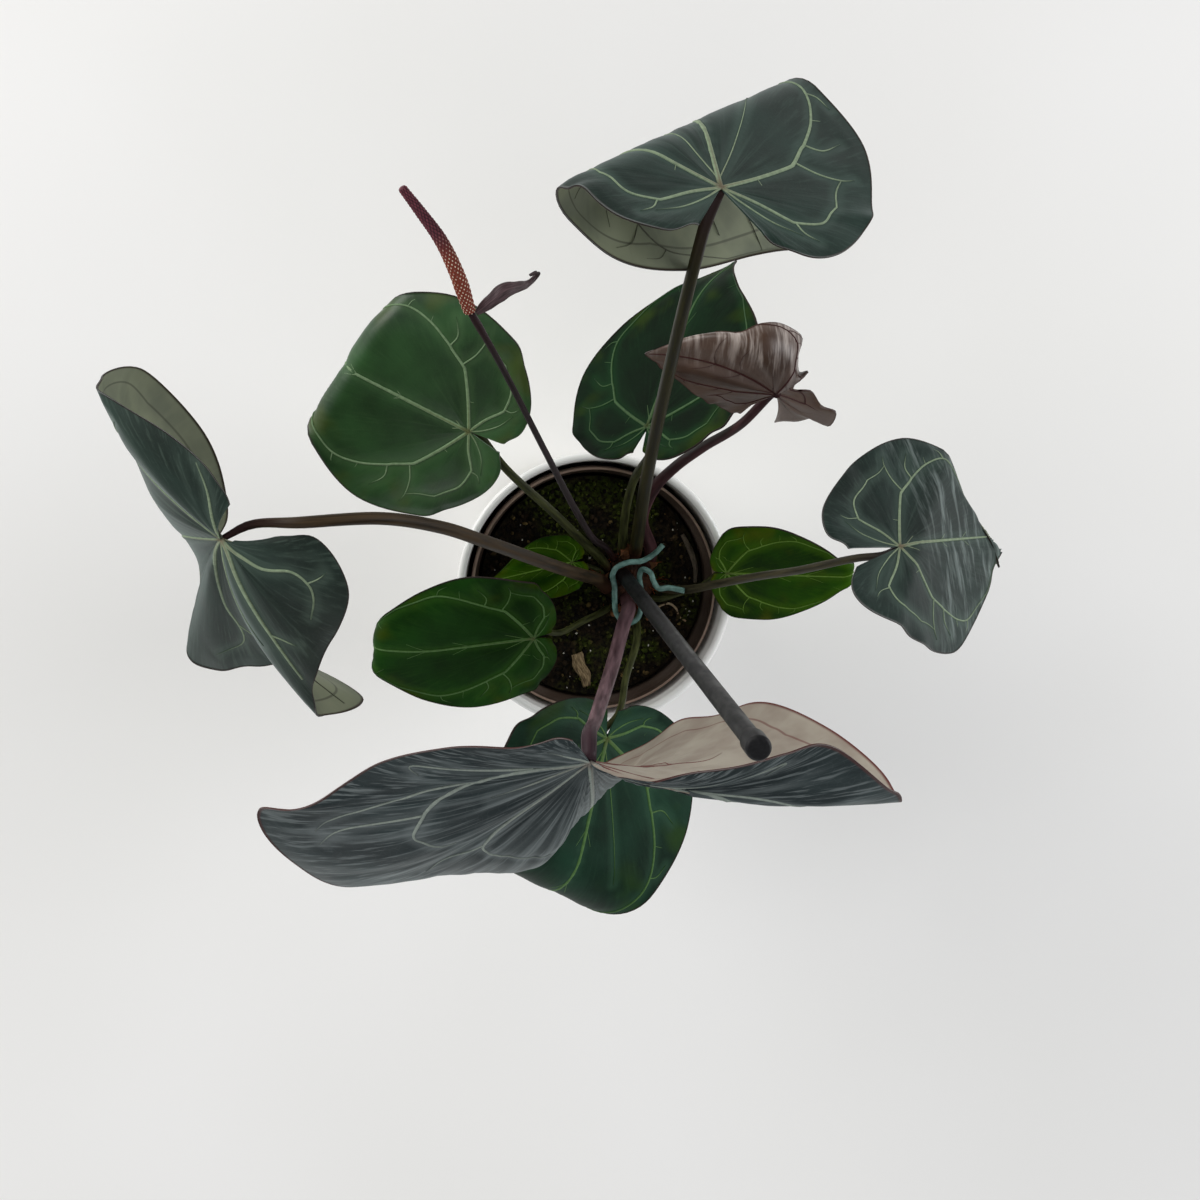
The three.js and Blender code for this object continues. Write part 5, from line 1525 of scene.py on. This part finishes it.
length, width, thickness = BARK_SIZE
along = np.linspace(-0.5, 0.5, 30)[:, None]
turn = np.linspace(0, TAU, 28, endpoint=False)[None, :]
half = width / 2 * (1 - 0.9 * along**2 - 0.35 * along)
deep = thickness / 2 * (1 - 0.8 * along**2)
bump = 1 + 0.1 * np.sin(3 * turn + 12 * along) + 0.05 * np.sin(11 * turn + 4 * along)
x = along * length + 0.5 * np.sin(9 * turn)
y = half * np.cos(turn) * bump + 0.5 * np.sin(7 * along)
z = deep * np.sin(turn) * bump
angle = math.radians(BARK_TURN)
turned_x = x * math.cos(angle) - y * math.sin(angle)
turned_y = x * math.sin(angle) + y * math.cos(angle)
rings = np.stack([turned_x, turned_y, z], -1) + on_soil([(*BARK_PLACE, BARK_RISE)])
points, faces = ring_body(rings)
bark_skin = dry_skin("bark_grain", "4a3c2c", "a08a68")
marks = {"place": place_marks(along, turn)}
make_piece("bark_flake", points, faces, [bark_skin], "bark_chip", marks)

# %% The dry root
DRY_ROOT = [(45, 25, 1.2), (49, 17, 1.5), (51.5, 9, 1.3), (51.5, 1, 1.2)]
DRY_ROOT_RADII = [1, 1.5, 1.3, 0.8]
root_skin = dry_skin("root_grain", "2e2822", "6a5f50")
build_stalk("dead_root", on_soil(DRY_ROOT), 60, DRY_ROOT_RADII, 16, root_skin, "dry_root", "dry_root")

# %% [markdown]
# ## The stage
# The photograph was taken from nearly straight above, in soft daylight. A pale plain floor lies under the
# pot. A large soft light at the rear left stands for the window, two weaker ones fill the other sides, and
# a pale world does the rest. The camera stands where the solved view puts it, a little to the left of and
# above the plant in the picture.

# %% The floor
FLOOR_HALF = 5.0
FLOOR_DROP = 0.0004
mesh = bpy.data.meshes.new("floor")
corners = [(x * FLOOR_HALF, y * FLOOR_HALF, -FLOOR_DROP) for x, y in ((-1, -1), (1, -1), (1, 1), (-1, 1))]
mesh.from_pydata(corners, [], [(0, 1, 2, 3)])
floor = bpy.data.objects.new("floor", mesh)
bpy.context.scene.collection.objects.link(floor)
f = Finish("pale_floor", 0.75, specular_ior_level=0.3)
f.start("eeedea", "f2f1ef", f.noise(f.place(), 3.0, 2.0), 0.3, 0.7)
mesh.materials.append(f.done())
print("floor:", 2 * FLOOR_HALF, "m wide")


# %% Lights and world
LIGHT_AIM = (0, 0, 0.2)


def soft_light(name, place, size, power, tint):
    lamp = bpy.data.lights.new(name, "AREA")
    lamp.size = size
    lamp.energy = power
    lamp.color = tint
    made = bpy.data.objects.new(name, lamp)
    bpy.context.scene.collection.objects.link(made)
    way = Vector(LIGHT_AIM) - Vector(place)
    made.location = place
    made.rotation_euler = way.to_track_quat("-Z", "Y").to_euler()


soft_light("window", (-1.5, 1.1, 0.9), 1.5, 30.0, (1.0, 0.99, 0.97))
soft_light("right_fill", (1.8, 0.3, 0.8), 1.2, 18.0, (0.97, 0.98, 1.0))
soft_light("front_fill", (-0.5, -1.8, 1.0), 1.2, 6.0, (0.97, 0.98, 1.0))
world = bpy.data.worlds.new("pale_room")
bpy.context.scene.world = world
world.use_nodes = True
sky = world.node_tree.nodes["Background"]
sky.inputs["Color"].default_value = (0.97, 0.98, 1.0, 1.0)
sky.inputs["Strength"].default_value = 0.5
print("lights:", len(bpy.data.lights))

# %% The camera
CAMERA_AT = (-0.1146, 0.1747, 1.2243)
CAMERA_AIM = (0.0029, -0.0054, 0.118)
LENS = 69.0
SENSOR_WIDTH = 36.0
lens = bpy.data.cameras.new("camera")
lens.lens = LENS
lens.sensor_width = SENSOR_WIDTH
camera = bpy.data.objects.new("camera", lens)
bpy.context.scene.collection.objects.link(camera)
ahead = unit(np.subtract(CAMERA_AIM, CAMERA_AT))
right = unit(np.cross(ahead, [0.0, 1.0, 0.0]))
above = np.cross(right, ahead)
axes = np.stack([right, above, -ahead], axis=1)
camera.matrix_world = Matrix.LocRotScale(Vector(CAMERA_AT), Matrix(axes.tolist()), None)
bpy.context.scene.camera = camera
bpy.context.scene.view_settings.view_transform = "Standard"
bpy.context.view_layer.update()
print("camera's distance:", round((Vector(CAMERA_AIM) - Vector(CAMERA_AT)).length, 3), "m")
